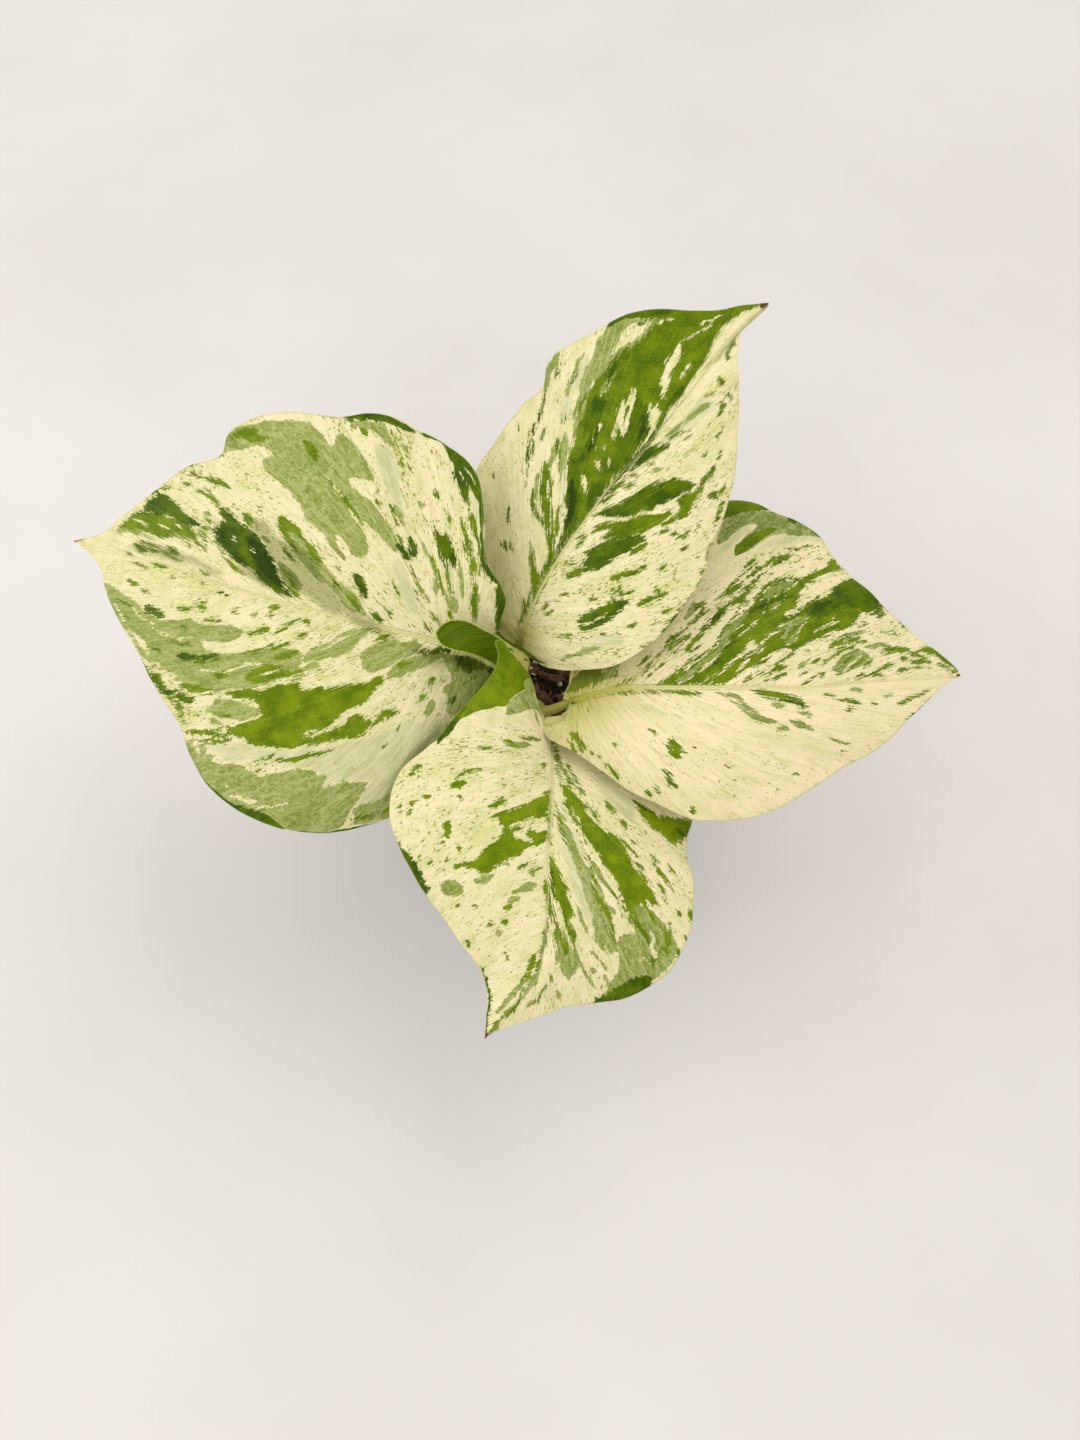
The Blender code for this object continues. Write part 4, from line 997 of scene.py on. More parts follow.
def smooth_line(points, at):
    """A smooth curve through points, read at fractions of its length."""
    p = np.asarray(points, float)
    step = np.maximum(np.linalg.norm(np.diff(p[:, :2], axis=0), axis=1), 1e-6)
    knot = np.concatenate([[0.0], np.cumsum(step)])
    slope = np.empty_like(p)
    chord = np.diff(p, axis=0) / step[:, None]
    slope[0], slope[-1] = chord[0], chord[-1]
    for i in range(1, len(p) - 1):
        a, b = step[i - 1], step[i]
        slope[i] = (chord[i - 1] * b + chord[i] * a) / (a + b)
    x = np.clip(np.asarray(at, float), 0, 1) * knot[-1]
    k = np.clip(np.searchsorted(knot, x, side="right") - 1, 0, len(step) - 1)
    h = step[k][:, None]
    u = ((x - knot[k]) / step[k])[:, None]
    return (
        (2 * u**3 - 3 * u**2 + 1) * p[k]
        + (u**3 - 2 * u**2 + u) * h * slope[k]
        + (-2 * u**3 + 3 * u**2) * p[k + 1]
        + (u**3 - u**2) * h * slope[k + 1]
    )


def monotone(x, y, at):
    """A curve through (x, y) that never turns back."""
    x, y = np.asarray(x, float), np.asarray(y, float)
    h = np.diff(x)
    d = np.diff(y) / h
    m = np.empty_like(x)
    m[0], m[-1] = d[0], d[-1]
    for i in range(1, len(x) - 1):
        m[i] = 0 if d[i - 1] * d[i] <= 0 else 3 * (h[i - 1] + h[i]) / ((2 * h[i] + h[i - 1]) / d[i - 1] + (h[i] + 2 * h[i - 1]) / d[i])
    at = np.asarray(at, float)
    k = np.clip(np.searchsorted(x, at, side="right") - 1, 0, len(h) - 1)
    u = (at - x[k]) / h[k]
    return (2 * u**3 - 3 * u**2 + 1) * y[k] + (u**3 - 2 * u**2 + u) * h[k] * m[k] + (-2 * u**3 + 3 * u**2) * y[k + 1] + (u**3 - u**2) * h[k] * m[k + 1]


def fraction(points, target):
    """How far along a smooth line its nearest point to target is, from 0 to 1."""
    t = np.linspace(0, 1, 2001)
    c = smooth_line(points, t)[:, :2]
    return float(t[np.argmin(np.linalg.norm(c - np.array(target, float), axis=1))])


def height_table(leaf, half):
    """The plain blade's half as a flat net in the drawing frame, with the height at each knot."""
    rows, cols = 120, 40
    side = 0 if half == "far" else 1
    s = np.linspace(0.0, 1.0, rows + 1)
    mid = smooth_line(leaf["midrib"], s ** leaf["gather"])
    along = np.gradient(mid[:, :2], axis=0)
    along /= np.maximum(np.linalg.norm(along, axis=1), 1e-9)[:, None]
    edge = smooth_line(leaf[half], s)
    w = np.linspace(0.0, 1.0, cols + 1)[None, :, None]
    span = np.linalg.norm(edge[:, :2] - mid[:, :2], axis=1)
    bend = (mid + edge)[:, :2] / 2 - along * (0.10 * span * np.clip(s * 3, 0, 1))[:, None]
    xy = (1 - w) ** 2 * mid[:, None, :2] + 2 * w * (1 - w) * bend[:, None] + w**2 * edge[:, None, :2]
    fall = w[..., 0] ** leaf["hold"][side]
    swell = np.clip(np.sin(math.pi * np.clip(s * 1.15, 0, 1)), 0, 1) ** 0.7
    z = (1 - fall) * mid[:, 2:3] + fall * edge[:, 2:3] + leaf["arch"][side] * swell[:, None] * 4 * (w * (1 - w))[..., 0]
    at = np.arange((rows + 1) * (cols + 1)).reshape(rows + 1, cols + 1)
    a, b, c, d = at[:-1, :-1].ravel(), at[:-1, 1:].ravel(), at[1:, 1:].ravel(), at[1:, :-1].ravel()
    tris = np.concatenate([np.stack([a, b, c], 1), np.stack([a, c, d], 1)])
    flat = np.concatenate([xy.reshape(-1, 2), np.zeros(((rows + 1) * (cols + 1), 1))], axis=1)
    twice = np.cross(flat[tris[:, 1]] - flat[tris[:, 0]], flat[tris[:, 2]] - flat[tris[:, 0]])[:, 2]
    tris = tris[np.abs(twice) > 1e-3]
    tree = BVHTree.FromPolygons(flat.tolist(), tris.tolist())
    return tree, flat, tris, z.ravel()


def heights_at(table, xy):
    """The plain blade's height at places in the drawing frame."""
    tree, flat, tris, z = table
    out = np.empty(len(xy))
    for i, (x, y) in enumerate(xy):
        spot, _, face, _ = tree.find_nearest((x, y, 0.0))
        a, b, c = tris[face]
        pa, pb, pc = flat[a, :2], flat[b, :2], flat[c, :2]
        e1, e2, r = pb - pa, pc - pa, (spot[0] - pa[0], spot[1] - pa[1])
        area = e1[0] * e2[1] - e1[1] * e2[0]
        v = (r[0] * e2[1] - r[1] * e2[0]) / area
        w = (e1[0] * r[1] - e1[1] * r[0]) / area
        out[i] = z[a] + v * (z[b] - z[a]) + w * (z[c] - z[a])
    return out


def smooth_grid(g, rounds, keep_edges=True):
    """Averages a grid of values with its neighbours."""
    g = g.copy()
    for _ in range(rounds):
        p = np.pad(g, 1, mode="edge")
        n = (p[:-2, 1:-1] + p[2:, 1:-1] + p[1:-1, :-2] + p[1:-1, 2:] + 2 * g) / 6
        if keep_edges:
            n[0], n[-1], n[:, 0], n[:, -1] = g[0], g[-1], g[:, 0], g[:, -1]
        g = n
    return g


# ------------------------------------------------------------------------------------------------ marks
def parse_marks(text):
    marks = []
    for line in text.strip().splitlines():
        head, body = line.split(":")
        words = head.split()
        points = np.array([[float(v) for v in p.split(",")] for p in body.split()])
        marks.append((KINDS.index(words[0]), float(words[1]) if len(words) > 1 else None, points))
    return marks


def stroke_depth(xy, points, half_width):
    """How deep each place lies in a stroke that thins towards its ends (negative outside)."""
    step = np.linalg.norm(np.diff(points, axis=0), axis=1)
    knot = np.concatenate([[0.0], np.cumsum(step)])
    best = np.full(len(xy), -1e9)
    for k in range(len(step)):
        a, d = points[k], points[k + 1] - points[k]
        t = np.clip(((xy - a) @ d) / (step[k] ** 2 + 1e-9), 0, 1)
        dist = np.linalg.norm(xy - a - t[:, None] * d, axis=1)
        f = (knot[k] + t * step[k]) / knot[-1]
        width = half_width * (1 - np.abs(2 * f - 1) ** 2.4) ** 0.55 * (1 + 0.22 * np.sin(9 * f + points[0, 0]))
        best = np.maximum(best, width - dist)
    return best


def patch_depth(xy, outline):
    """How deep each place lies in a closed outline (negative outside)."""
    inside = np.zeros(len(xy), bool)
    near = np.full(len(xy), 1e9)
    for k in range(len(outline)):
        a, b = outline[k], outline[(k + 1) % len(outline)]
        d = b - a
        t = np.clip(((xy - a) @ d) / (d @ d + 1e-9), 0, 1)
        near = np.minimum(near, np.linalg.norm(xy - a - t[:, None] * d, axis=1))
        crosses = (a[1] > xy[:, 1]) != (b[1] > xy[:, 1])
        with np.errstate(divide="ignore", invalid="ignore"):
            x = a[0] + (xy[:, 1] - a[1]) * d[0] / d[1]
        inside ^= crosses & (xy[:, 0] < x)
    return np.where(inside, near, -near)


def paint(xy, marks):
    """Depth in the marks at each place, one row for each letter of KINDS after the first. A later mark covers the kinds above its own."""
    depth = np.full((len(KINDS), len(xy)), -6.0)
    for kind, width, points in marks:
        margin = 8 + (width or 0)
        lo, hi = points.min(0) - margin, points.max(0) + margin
        at = np.nonzero((xy[:, 0] > lo[0]) & (xy[:, 0] < hi[0]) & (xy[:, 1] > lo[1]) & (xy[:, 1] < hi[1]))[0]
        if len(at) == 0:
            continue
        d = patch_depth(xy[at], points) if width is None else stroke_depth(xy[at], points, width)
        if kind:
            depth[kind, at] = np.maximum(depth[kind, at], d)
        for above in range(kind + 1, 6):
            depth[above, at] = np.minimum(depth[above, at], -d)
    return np.clip(depth[1:], -6, 6)


# ------------------------------------------------------------------------------------------------ mesh helpers
def link(obj):
    bpy.context.scene.collection.objects.link(obj)
    return obj


def mesh_object(name, verts, faces, mat, smooth=True):
    """A mesh from points in millimetres and faces."""
    mesh = bpy.data.meshes.new(name)
    verts = np.asarray(verts, float) * MM
    mesh.from_pydata(verts.tolist(), [], faces.tolist() if isinstance(faces, np.ndarray) else faces)
    mesh.update()
    mesh.materials.append(mat)
    if smooth:
        mesh.shade_smooth()
    return link(bpy.data.objects.new(name, mesh))


def set_values(mesh, name, values):
    values = np.asarray(values, np.float32)
    if values.ndim == 1:
        mesh.attributes.new(name, "FLOAT", "POINT").data.foreach_set("value", values)
    else:
        mesh.attributes.new(name, "FLOAT_VECTOR", "POINT").data.foreach_set("vector", values.ravel())


def corner_map(mesh, uv):
    """The mesh's bake map, from a (u, v) for each point."""
    layer = mesh.uv_layers.new(name="OFBake")
    index = np.empty(len(mesh.loops), np.int32)
    mesh.loops.foreach_get("vertex_index", index)
    layer.data.foreach_set("uv", np.asarray(uv, np.float32)[index].ravel())


def grid_normals(points):
    """Unit normals of a grid of points, from its triangles."""
    r, c = points.shape[:2]
    n = np.zeros_like(points)
    a, b, d, e = points[:-1, :-1], points[:-1, 1:], points[1:, 1:], points[1:, :-1]
    f = np.cross(d - a, e - b)
    n[:-1, :-1] += f
    n[:-1, 1:] += f
    n[1:, 1:] += f
    n[1:, :-1] += f
    return n / np.maximum(np.linalg.norm(n, axis=2), 1e-12)[..., None]


def shell_faces(r, c):
    """Faces of a closed sheet: an upper grid, a lower grid after it, and the wall between their edges."""
    at = np.arange(r * c).reshape(r, c)
    a, b, d, e = at[:-1, :-1].ravel(), at[:-1, 1:].ravel(), at[1:, 1:].ravel(), at[1:, :-1].ravel()
    upper = np.stack([a, b, d, e], 1)
    lower = np.stack([e, d, b, a], 1) + r * c
    rim = np.concatenate([at[0], at[1:, -1], at[-1, -2::-1], at[-2:0:-1, 0]])
    nxt = np.roll(rim, -1)
    wall = np.stack([nxt, rim, rim + r * c, nxt + r * c], 1)
    return upper, lower, wall


# ------------------------------------------------------------------------------------------------ node helpers
class Nodes:
    """Short names for building a material's nodes."""

    def __init__(self, name):
        self.m = bpy.data.materials.new(name)
        self.m.use_nodes = True
        self.t = self.m.node_tree
        self.shader = self.t.nodes["Principled BSDF"]
        self.out = self.t.nodes["Material Output"]

    def put(self, socket, value):
        if isinstance(value, bpy.types.NodeSocket):
            self.t.links.new(value, socket)
        elif value is not None:
            socket.default_value = value

    def node(self, kind, **settings):
        n = self.t.nodes.new(kind)
        for k, v in settings.items():
            setattr(n, k, v)
        return n

    def attr(self, name, what="Fac"):
        return self.node("ShaderNodeAttribute", attribute_name=name).outputs[what]

    def math(self, op, a, b=None, c=None, clamp=False):
        n = self.node("ShaderNodeMath", operation=op, use_clamp=clamp)
        for s, v in zip(n.inputs, (a, b, c)):
            self.put(s, v)
        return n.outputs[0]

    def add(self, a, b):
        return self.math("ADD", a, b)

    def sub(self, a, b):
        return self.math("SUBTRACT", a, b)

    def mul(self, a, b):
        return self.math("MULTIPLY", a, b)

    def madd(self, a, b, c):
        return self.math("MULTIPLY_ADD", a, b, c)

    def ramp(self, x, lo, hi, a=0.0, b=1.0, smooth=True):
        n = self.node("ShaderNodeMapRange", interpolation_type="SMOOTHSTEP" if smooth else "LINEAR")
        for s, v in zip(n.inputs, (x, lo, hi, a, b)):
            self.put(s, v)
        return n.outputs[0]

    def scaled(self, vector, by):
        n = self.node("ShaderNodeVectorMath", operation="MULTIPLY")
        self.put(n.inputs[0], vector)
        n.inputs[1].default_value = by
        return n.outputs[0]

    def shifted(self, vector, by):
        n = self.node("ShaderNodeVectorMath", operation="ADD")
        self.put(n.inputs[0], vector)
        self.put(n.inputs[1], by)
        return n.outputs[0]

    def noise(self, vector, scale=1.0, detail=2.0, rough=0.5, what="Fac", dims="3D", distortion=0.0):
        n = self.node("ShaderNodeTexNoise", noise_dimensions=dims)
        self.put(n.inputs["Vector"], vector)
        n.inputs["Scale"].default_value = scale
        n.inputs["Detail"].default_value = detail
        n.inputs["Roughness"].default_value = rough
        n.inputs["Distortion"].default_value = distortion
        return n.outputs[what]

    def voronoi(self, vector, scale=1.0, feature="F1", rand=1.0, what="Distance"):
        n = self.node("ShaderNodeTexVoronoi", feature=feature)
        self.put(n.inputs["Vector"], vector)
        n.inputs["Scale"].default_value = scale
        n.inputs["Randomness"].default_value = rand
        return n.outputs[what]

    def mix(self, fac, a, b, blend="MIX"):
        n = self.node("ShaderNodeMix", data_type="RGBA", blend_type=blend)
        self.put(n.inputs["Factor"], fac)
        for s, v in zip((n.inputs[6], n.inputs[7]), (a, b)):
            self.put(s, (*v, 1.0) if isinstance(v, tuple) and len(v) == 3 else v)
        return n.outputs[2]

    def blend(self, fac, a, b):
        n = self.node("ShaderNodeMix", data_type="FLOAT")
        self.put(n.inputs["Factor"], fac)
        self.put(n.inputs[2], a)
        self.put(n.inputs[3], b)
        return n.outputs[0]

    def bump(self, height, strength, distance, normal=None):
        n = self.node("ShaderNodeBump")
        n.inputs["Strength"].default_value = strength
        n.inputs["Distance"].default_value = distance
        self.put(n.inputs["Height"], height)
        if normal is not None:
            self.put(n.inputs["Normal"], normal)
        return n.outputs[0]

    def finish(self, colour, rough, normal=None, **fixed):
        self.put(self.shader.inputs["Base Color"], colour if not isinstance(colour, tuple) else (*colour, 1.0))
        self.put(self.shader.inputs["Roughness"], rough)
        if normal is not None:
            self.put(self.shader.inputs["Normal"], normal)
        for k, v in fixed.items():
            self.shader.inputs[k.replace("_", " ")].default_value = v
        return self.m


# ------------------------------------------------------------------------------------------------ materials
def leaf_material():
    """Marbled blade. Millimetres across and along the side veins come from 'vein', depth in the marks from 'm_...'."""
    n = Nodes("leaf_marbled")
    vein = n.attr("vein", "Vector")
    place = n.scaled(n.node("ShaderNodeTexCoord").outputs["Object"], (1000.0, 1000.0, 1000.0))  # millimetres
    edge = n.attr("edge")  # millimetres from the margin
    rib = n.attr("rib")  # distance from the midrib in half widths of it
    side_vein = n.attr("side_vein")  # millimetres from the nearest side vein
    m_mint, m_sage, m_green, m_dark = n.attr("m_mint"), n.attr("m_sage"), n.attr("m_green"), n.attr("m_dark")
    warm, basal, under = n.attr("warm"), n.attr("basal"), n.attr("under")
    open_rows = n.ramp(n.attr("squeeze"), 0.22, 0.62)

    def stream(across, along, detail, rough, distortion=0.0):
        """Noise drawn out along the side veins, coarser across them where they crowd together."""
        wide = n.noise(n.scaled(vein, (across, along, 1.0)), 1.0, detail, rough, distortion=distortion)
        tight = n.noise(n.scaled(vein, (across * 0.34, along, 1.0)), 1.0, detail, rough, distortion=distortion)
        return n.blend(open_rows, tight, wide)

    # ragged borders that run with the veins, smooth ones in the calm places and along the margin
    streak = stream(1.0, 0.15, 4.0, 0.62)
    fray = stream(2.1, 0.95, 3.0, 0.62)
    grain = n.noise(place, 2.1, 3.0, 0.68)
    grit = n.noise(place, 4.2, 2.0, 0.7)
    blotch = n.noise(place, 0.19, 6.0, 0.60)
    fleck_noise = stream(1.9, 0.66, 3.0, 0.6, 0.25)
    loose = n.mul(n.blend(n.ramp(n.attr("m_calm"), -3.0, 3.0), 1.0, 0.16), n.ramp(edge, 0.1, 1.0, 0.35, 1.0))
    rag = n.madd(n.sub(streak, 0.5), 14.0, n.madd(n.sub(fray, 0.5), 8.0, n.madd(n.sub(grain, 0.5), 5.0, 0.25)))
    rag = n.mul(rag, loose)
    calm = n.mul(n.madd(n.sub(streak, 0.5), 12.0, n.mul(n.sub(grain, 0.5), 5.0)), loose)

    mint = n.ramp(n.madd(calm, 1.3, m_mint), -2.6, 2.6)
    sage = n.ramp(n.madd(rag, 0.60, m_sage), -0.50, 0.50)
    green = n.ramp(n.add(m_green, rag), -0.35, 0.35)
    dark = n.ramp(n.add(m_dark, rag), -0.5, 0.5)

    # cream ground: warm and cool drifts and faint greenish streaks
    drift = n.noise(n.scaled(vein, (0.11, 0.04, 1.0)), 1.0, 3.0, 0.55)
    wash = stream(0.8, 0.11, 5.0, 0.7)
    cream = n.mix(warm, (0.780, 0.718, 0.425), (0.880, 0.742, 0.475))
    cream = n.mix(n.ramp(drift, 0.40, 0.66, 0.0, 0.60), cream, (0.725, 0.680, 0.335))
    cream = n.mix(n.ramp(wash, 0.46, 0.70, 0.0, 0.64), cream, (0.54, 0.56, 0.205))
    cream = n.mix(n.mul(n.ramp(blotch, 0.48, 0.64), n.ramp(warm, 0.2, 1.0, 0.55, 0.10)), cream, (0.57, 0.58, 0.225))
    cream = n.mix(n.ramp(grit, 0.50, 0.72, 0.0, 0.38), cream, (0.60, 0.59, 0.255))
    cream = n.mix(n.ramp(grain, 0.54, 0.74, 0.0, 0.30), cream, (0.52, 0.54, 0.19))
    mintc = n.mix(n.ramp(wash, 0.34, 0.68), (0.660, 0.640, 0.365), (0.46, 0.48, 0.215))
    mintc = n.mix(n.ramp(grit, 0.5, 0.7, 0.0, 0.35), mintc, (0.70, 0.67, 0.40))
    colour = n.mix(n.mul(mint, n.ramp(drift, 0.36, 0.60, 0.72, 0.95)), cream, mintc)

    # sage: grey green under a pale skin, with a net of lighter lines and darker grains
    bent = n.shifted(vein, n.mul(n.noise(place, 0.6, 2.0, what="Color"), 2.2))
    net = n.math("ABSOLUTE", n.sub(n.noise(n.scaled(bent, (0.42, 0.055, 1.0)), 1.0, 2.0, 0.5), 0.5))
    cross_net = n.math("ABSOLUTE", n.sub(n.noise(n.scaled(bent, (0.30, 0.28, 1.0)), 1.0, 2.0, 0.5), 0.5))
    fine_net = n.voronoi(n.scaled(bent, (1.1, 0.5, 1.0)), 1.0, "DISTANCE_TO_EDGE")
    sagec = n.mix(n.ramp(wash, 0.36, 0.64), (0.290, 0.330, 0.075), (0.180, 0.230, 0.025))
    sagec = n.mix(n.attr("sage_pale"), sagec, n.mix(n.ramp(wash, 0.36, 0.64), (0.46, 0.46, 0.195), (0.33, 0.36, 0.105)))
    sagec = n.mix(n.attr("sage_deep"), sagec, n.mix(n.ramp(wash, 0.36, 0.64), (0.195, 0.255, 0.036), (0.110, 0.165, 0.012)))
    sagec = n.mix(n.ramp(blotch, 0.49, 0.64, 0.0, 0.58), sagec, (0.150, 0.205, 0.020))
    sagec = n.mix(n.ramp(grain, 0.54, 0.74, 0.0, 0.45), sagec, (0.150, 0.200, 0.018))
    sagec = n.mix(n.ramp(fleck_noise, 0.575, 0.635, 0.0, 0.60), sagec, (0.130, 0.185, 0.010))
    sagec = n.mix(n.ramp(fleck_noise, 0.440, 0.385, 0.0, 0.52), sagec, (0.46, 0.49, 0.180))
    sagec = n.mix(n.ramp(grit, 0.52, 0.72, 0.0, 0.35), sagec, (0.42, 0.45, 0.15))
    sagec = n.mix(n.mul(n.ramp(fine_net, 0.02, 0.20, 0.26, 0.0), n.ramp(fray, 0.42, 0.58)), sagec, (0.40, 0.44, 0.15))
    sagec = n.mix(n.ramp(cross_net, 0.006, 0.028, 0.38, 0.0), sagec, (0.46, 0.49, 0.19))
    sagec = n.mix(n.ramp(net, 0.012, 0.046, 0.55, 0.0), sagec, (0.47, 0.50, 0.20))
    colour = n.mix(n.mul(sage, 0.97), colour, sagec)

    # scattered flecks and dots, thicker where speckle is high and beside the green marks, thin in the mint and the sage
    patchy = n.noise(n.scaled(vein, (0.17, 0.06, 1.0)), 1.0, 3.0, 0.6)
    beside = n.ramp(n.math("MAXIMUM", m_green, m_dark), -4.0, -0.4)
    speck = n.mul(n.attr("speckle"), n.ramp(patchy, 0.34, 0.66, 0.30, 1.65, smooth=False))
    speck = n.madd(beside, n.attr("beside"), speck)
    clear = n.math("MAXIMUM", n.ramp(m_mint, -1.5, 1.0, 0.0, 0.55), n.ramp(m_sage, -1.5, 1.0, 0.0, 0.72))
    speck = n.mul(n.sub(speck, clear), n.blend(n.ramp(n.attr("m_calm"), -3.0, 3.0), 1.0, 0.35))
    fleck = n.ramp(n.madd(speck, 0.165, fleck_noise), 0.690, 0.715)
    fine_grain = stream(3.3, 1.5, 3.0, 0.65)
    fine = n.ramp(n.madd(speck, 0.150, fine_grain), 0.705, 0.745)
    soft = n.ramp(n.madd(speck, 0.12, streak), 0.58, 0.76, 0.0, 0.45)
    fleckc = n.mix(n.ramp(grain, 0.40, 0.58), (0.095, 0.155, 0.002), (0.290, 0.335, 0.022))
    colour = n.mix(soft, colour, (0.40, 0.43, 0.080))
    colour = n.mix(n.mul(fine, 0.60), colour, (0.27, 0.32, 0.025))
    colour = n.mix(n.mul(fleck, 0.94), colour, fleckc)

    # green and dark green, granular inside, with pale flecks in them
    tone = n.madd(n.sub(wash, 0.5), 0.40, blotch)
    greenc = n.mix(n.ramp(tone, 0.35, 0.65), (0.190, 0.262, 0.0020), (0.086, 0.152, 0.0006))
    greenc = n.mix(n.attr("deepen"), greenc, n.mix(n.ramp(tone, 0.35, 0.65), (0.104, 0.176, 0.0008), (0.034, 0.080, 0.0004)))
    greenc = n.mix(n.ramp(grain, 0.52, 0.68, 0.0, 0.66), greenc, (0.052, 0.105, 0.0004))
    greenc = n.mix(n.ramp(grit, 0.48, 0.66, 0.0, 0.66), greenc, (0.245, 0.305, 0.006))
    greenc = n.mix(n.ramp(n.add(m_green, rag), 0.2, 2.6, 0.40, 0.0), greenc, (0.075, 0.140, 0.0006))
    darkc = n.mix(n.ramp(tone, 0.35, 0.65), (0.092, 0.152, 0.0006), (0.030, 0.072, 0.0003))
    darkc = n.mix(n.ramp(grit, 0.52, 0.70, 0.0, 0.50), darkc, (0.150, 0.210, 0.002))
    deepc = n.mix(n.ramp(grit, 0.45, 0.70), (0.009, 0.027, 0.0002), (0.050, 0.090, 0.0006))
    deep = n.ramp(n.add(n.attr("m_deep"), rag), -2.4, 2.4, 0.0, 0.94)
    inside = n.math("MAXIMUM", green, dark)
    pale_bits = n.mul(n.ramp(fine_grain, 0.365, 0.33), n.ramp(n.math("MAXIMUM", m_green, m_dark), 5.8, 0.0))
    colour = n.mix(green, colour, greenc)
    colour = n.mix(dark, colour, darkc)
    colour = n.mix(n.mul(deep, inside), colour, deepc)
    colour = n.mix(n.mul(pale_bits, n.mul(inside, n.mul(loose, 0.8))), colour, (0.42, 0.45, 0.10))

    # veins: pale lines in the coloured parts, greenish ones in the cream, a pale midrib, a thin margin
    coloured = n.math("MAXIMUM", n.mul(sage, 0.7), n.math("MAXIMUM", green, dark))
    broken = n.ramp(fray, 0.40, 0.60)
    lines = n.mul(n.ramp(side_vein, 0.03, 0.24, 1.0, 0.0), n.mul(broken, n.madd(coloured, 0.14, 0.16)))
    colour = n.mix(lines, colour, n.mix(coloured, (0.44, 0.46, 0.12), (0.40, 0.46, 0.08)))
    # painted shade at the foot: near its base the blade and its midrib turn a darker olive, standing in for the shade
    # there and the yellowish light coming through the blades above
    shaded_base = n.mul(basal, n.ramp(rib, 0.5, 22.0, 1.0, 0.25))
    colour = n.mix(n.mul(shaded_base, n.ramp(coloured, 0.0, 1.0, 0.85, 0.35)), colour, n.mix(n.ramp(streak, 0.38, 0.62), (0.50, 0.45, 0.085), (0.30, 0.31, 0.030)))
    midrib = n.mul(n.ramp(rib, 0.42, 0.98, 1.0, 0.0), n.attr("rib_pale"))
    midribc = n.mix(n.ramp(wash, 0.4, 0.7), (0.70, 0.66, 0.30), (0.52, 0.53, 0.15))
    midribc = n.mix(n.ramp(basal, 0.0, 0.8), midribc, n.mix(n.ramp(streak, 0.40, 0.62), (0.56, 0.49, 0.085), (0.33, 0.34, 0.030)))
    colour = n.mix(n.mul(midrib, 0.92), colour, midribc)
    flank = n.mul(n.ramp(n.math("ABSOLUTE", n.sub(rib, 1.12)), 0.05, 0.40, 1.0, 0.0), n.ramp(wash, 0.40, 0.58, 0.0, 0.75))
    colour = n.mix(n.mul(flank, n.attr("rib_pale")), colour, (0.165, 0.220, 0.010))
    # painted shade: a dark line down the middle of the midrib, where its channel lies in shade
    groove = n.mul(n.ramp(rib, 0.03, 0.22, 1.0, 0.0), 0.34)
    colour = n.mix(n.mul(groove, n.attr("rib_pale")), colour, (0.24, 0.27, 0.02))
    rim = n.ramp(edge, 0.06, 0.28, 0.70, 0.0)
    colour = n.mix(rim, colour, n.mix(coloured, (0.76, 0.71, 0.36), (0.20, 0.27, 0.03)))

    # soft shade in the folds
    shade = n.ramp(n.madd(n.sub(streak, 0.5), 6.0, n.attr("m_shade")), -5.0, 4.5, 0.0, 0.78)
    colour = n.mix(shade, colour, n.mix(1.0, colour, (0.42, 0.46, 0.30), blend="MULTIPLY"))

    # brown dry tip and a few brown specks
    brown = n.ramp(n.add(n.attr("tip"), n.mul(n.sub(grain, 0.5), 0.5)), 0.55, 0.85)
    colour = n.mix(brown, colour, (0.13, 0.042, 0.009))
    colour = n.mix(n.ramp(n.madd(n.sub(grit, 0.5), 1.0, n.attr("bite")), 0.45, 0.7), colour, (0.22, 0.025, 0.006))

    # paler, duller underside that shows the same marks faintly
    pale = n.mix(0.55, colour, (0.40, 0.46, 0.18))
    colour = n.mix(under, colour, pale)

    rough = n.add(n.blend(n.math("MAXIMUM", green, dark), 0.50, 0.43), n.mul(n.sub(wash, 0.5), 0.12))
    rough = n.blend(under, rough, 0.62)
    height = n.add(n.mul(fray, 0.6), n.mul(grain, 0.4))
    normal = n.bump(height, 0.28, 0.00016)
    return n.finish(colour, rough, normal, Specular_IOR_Level=0.06)


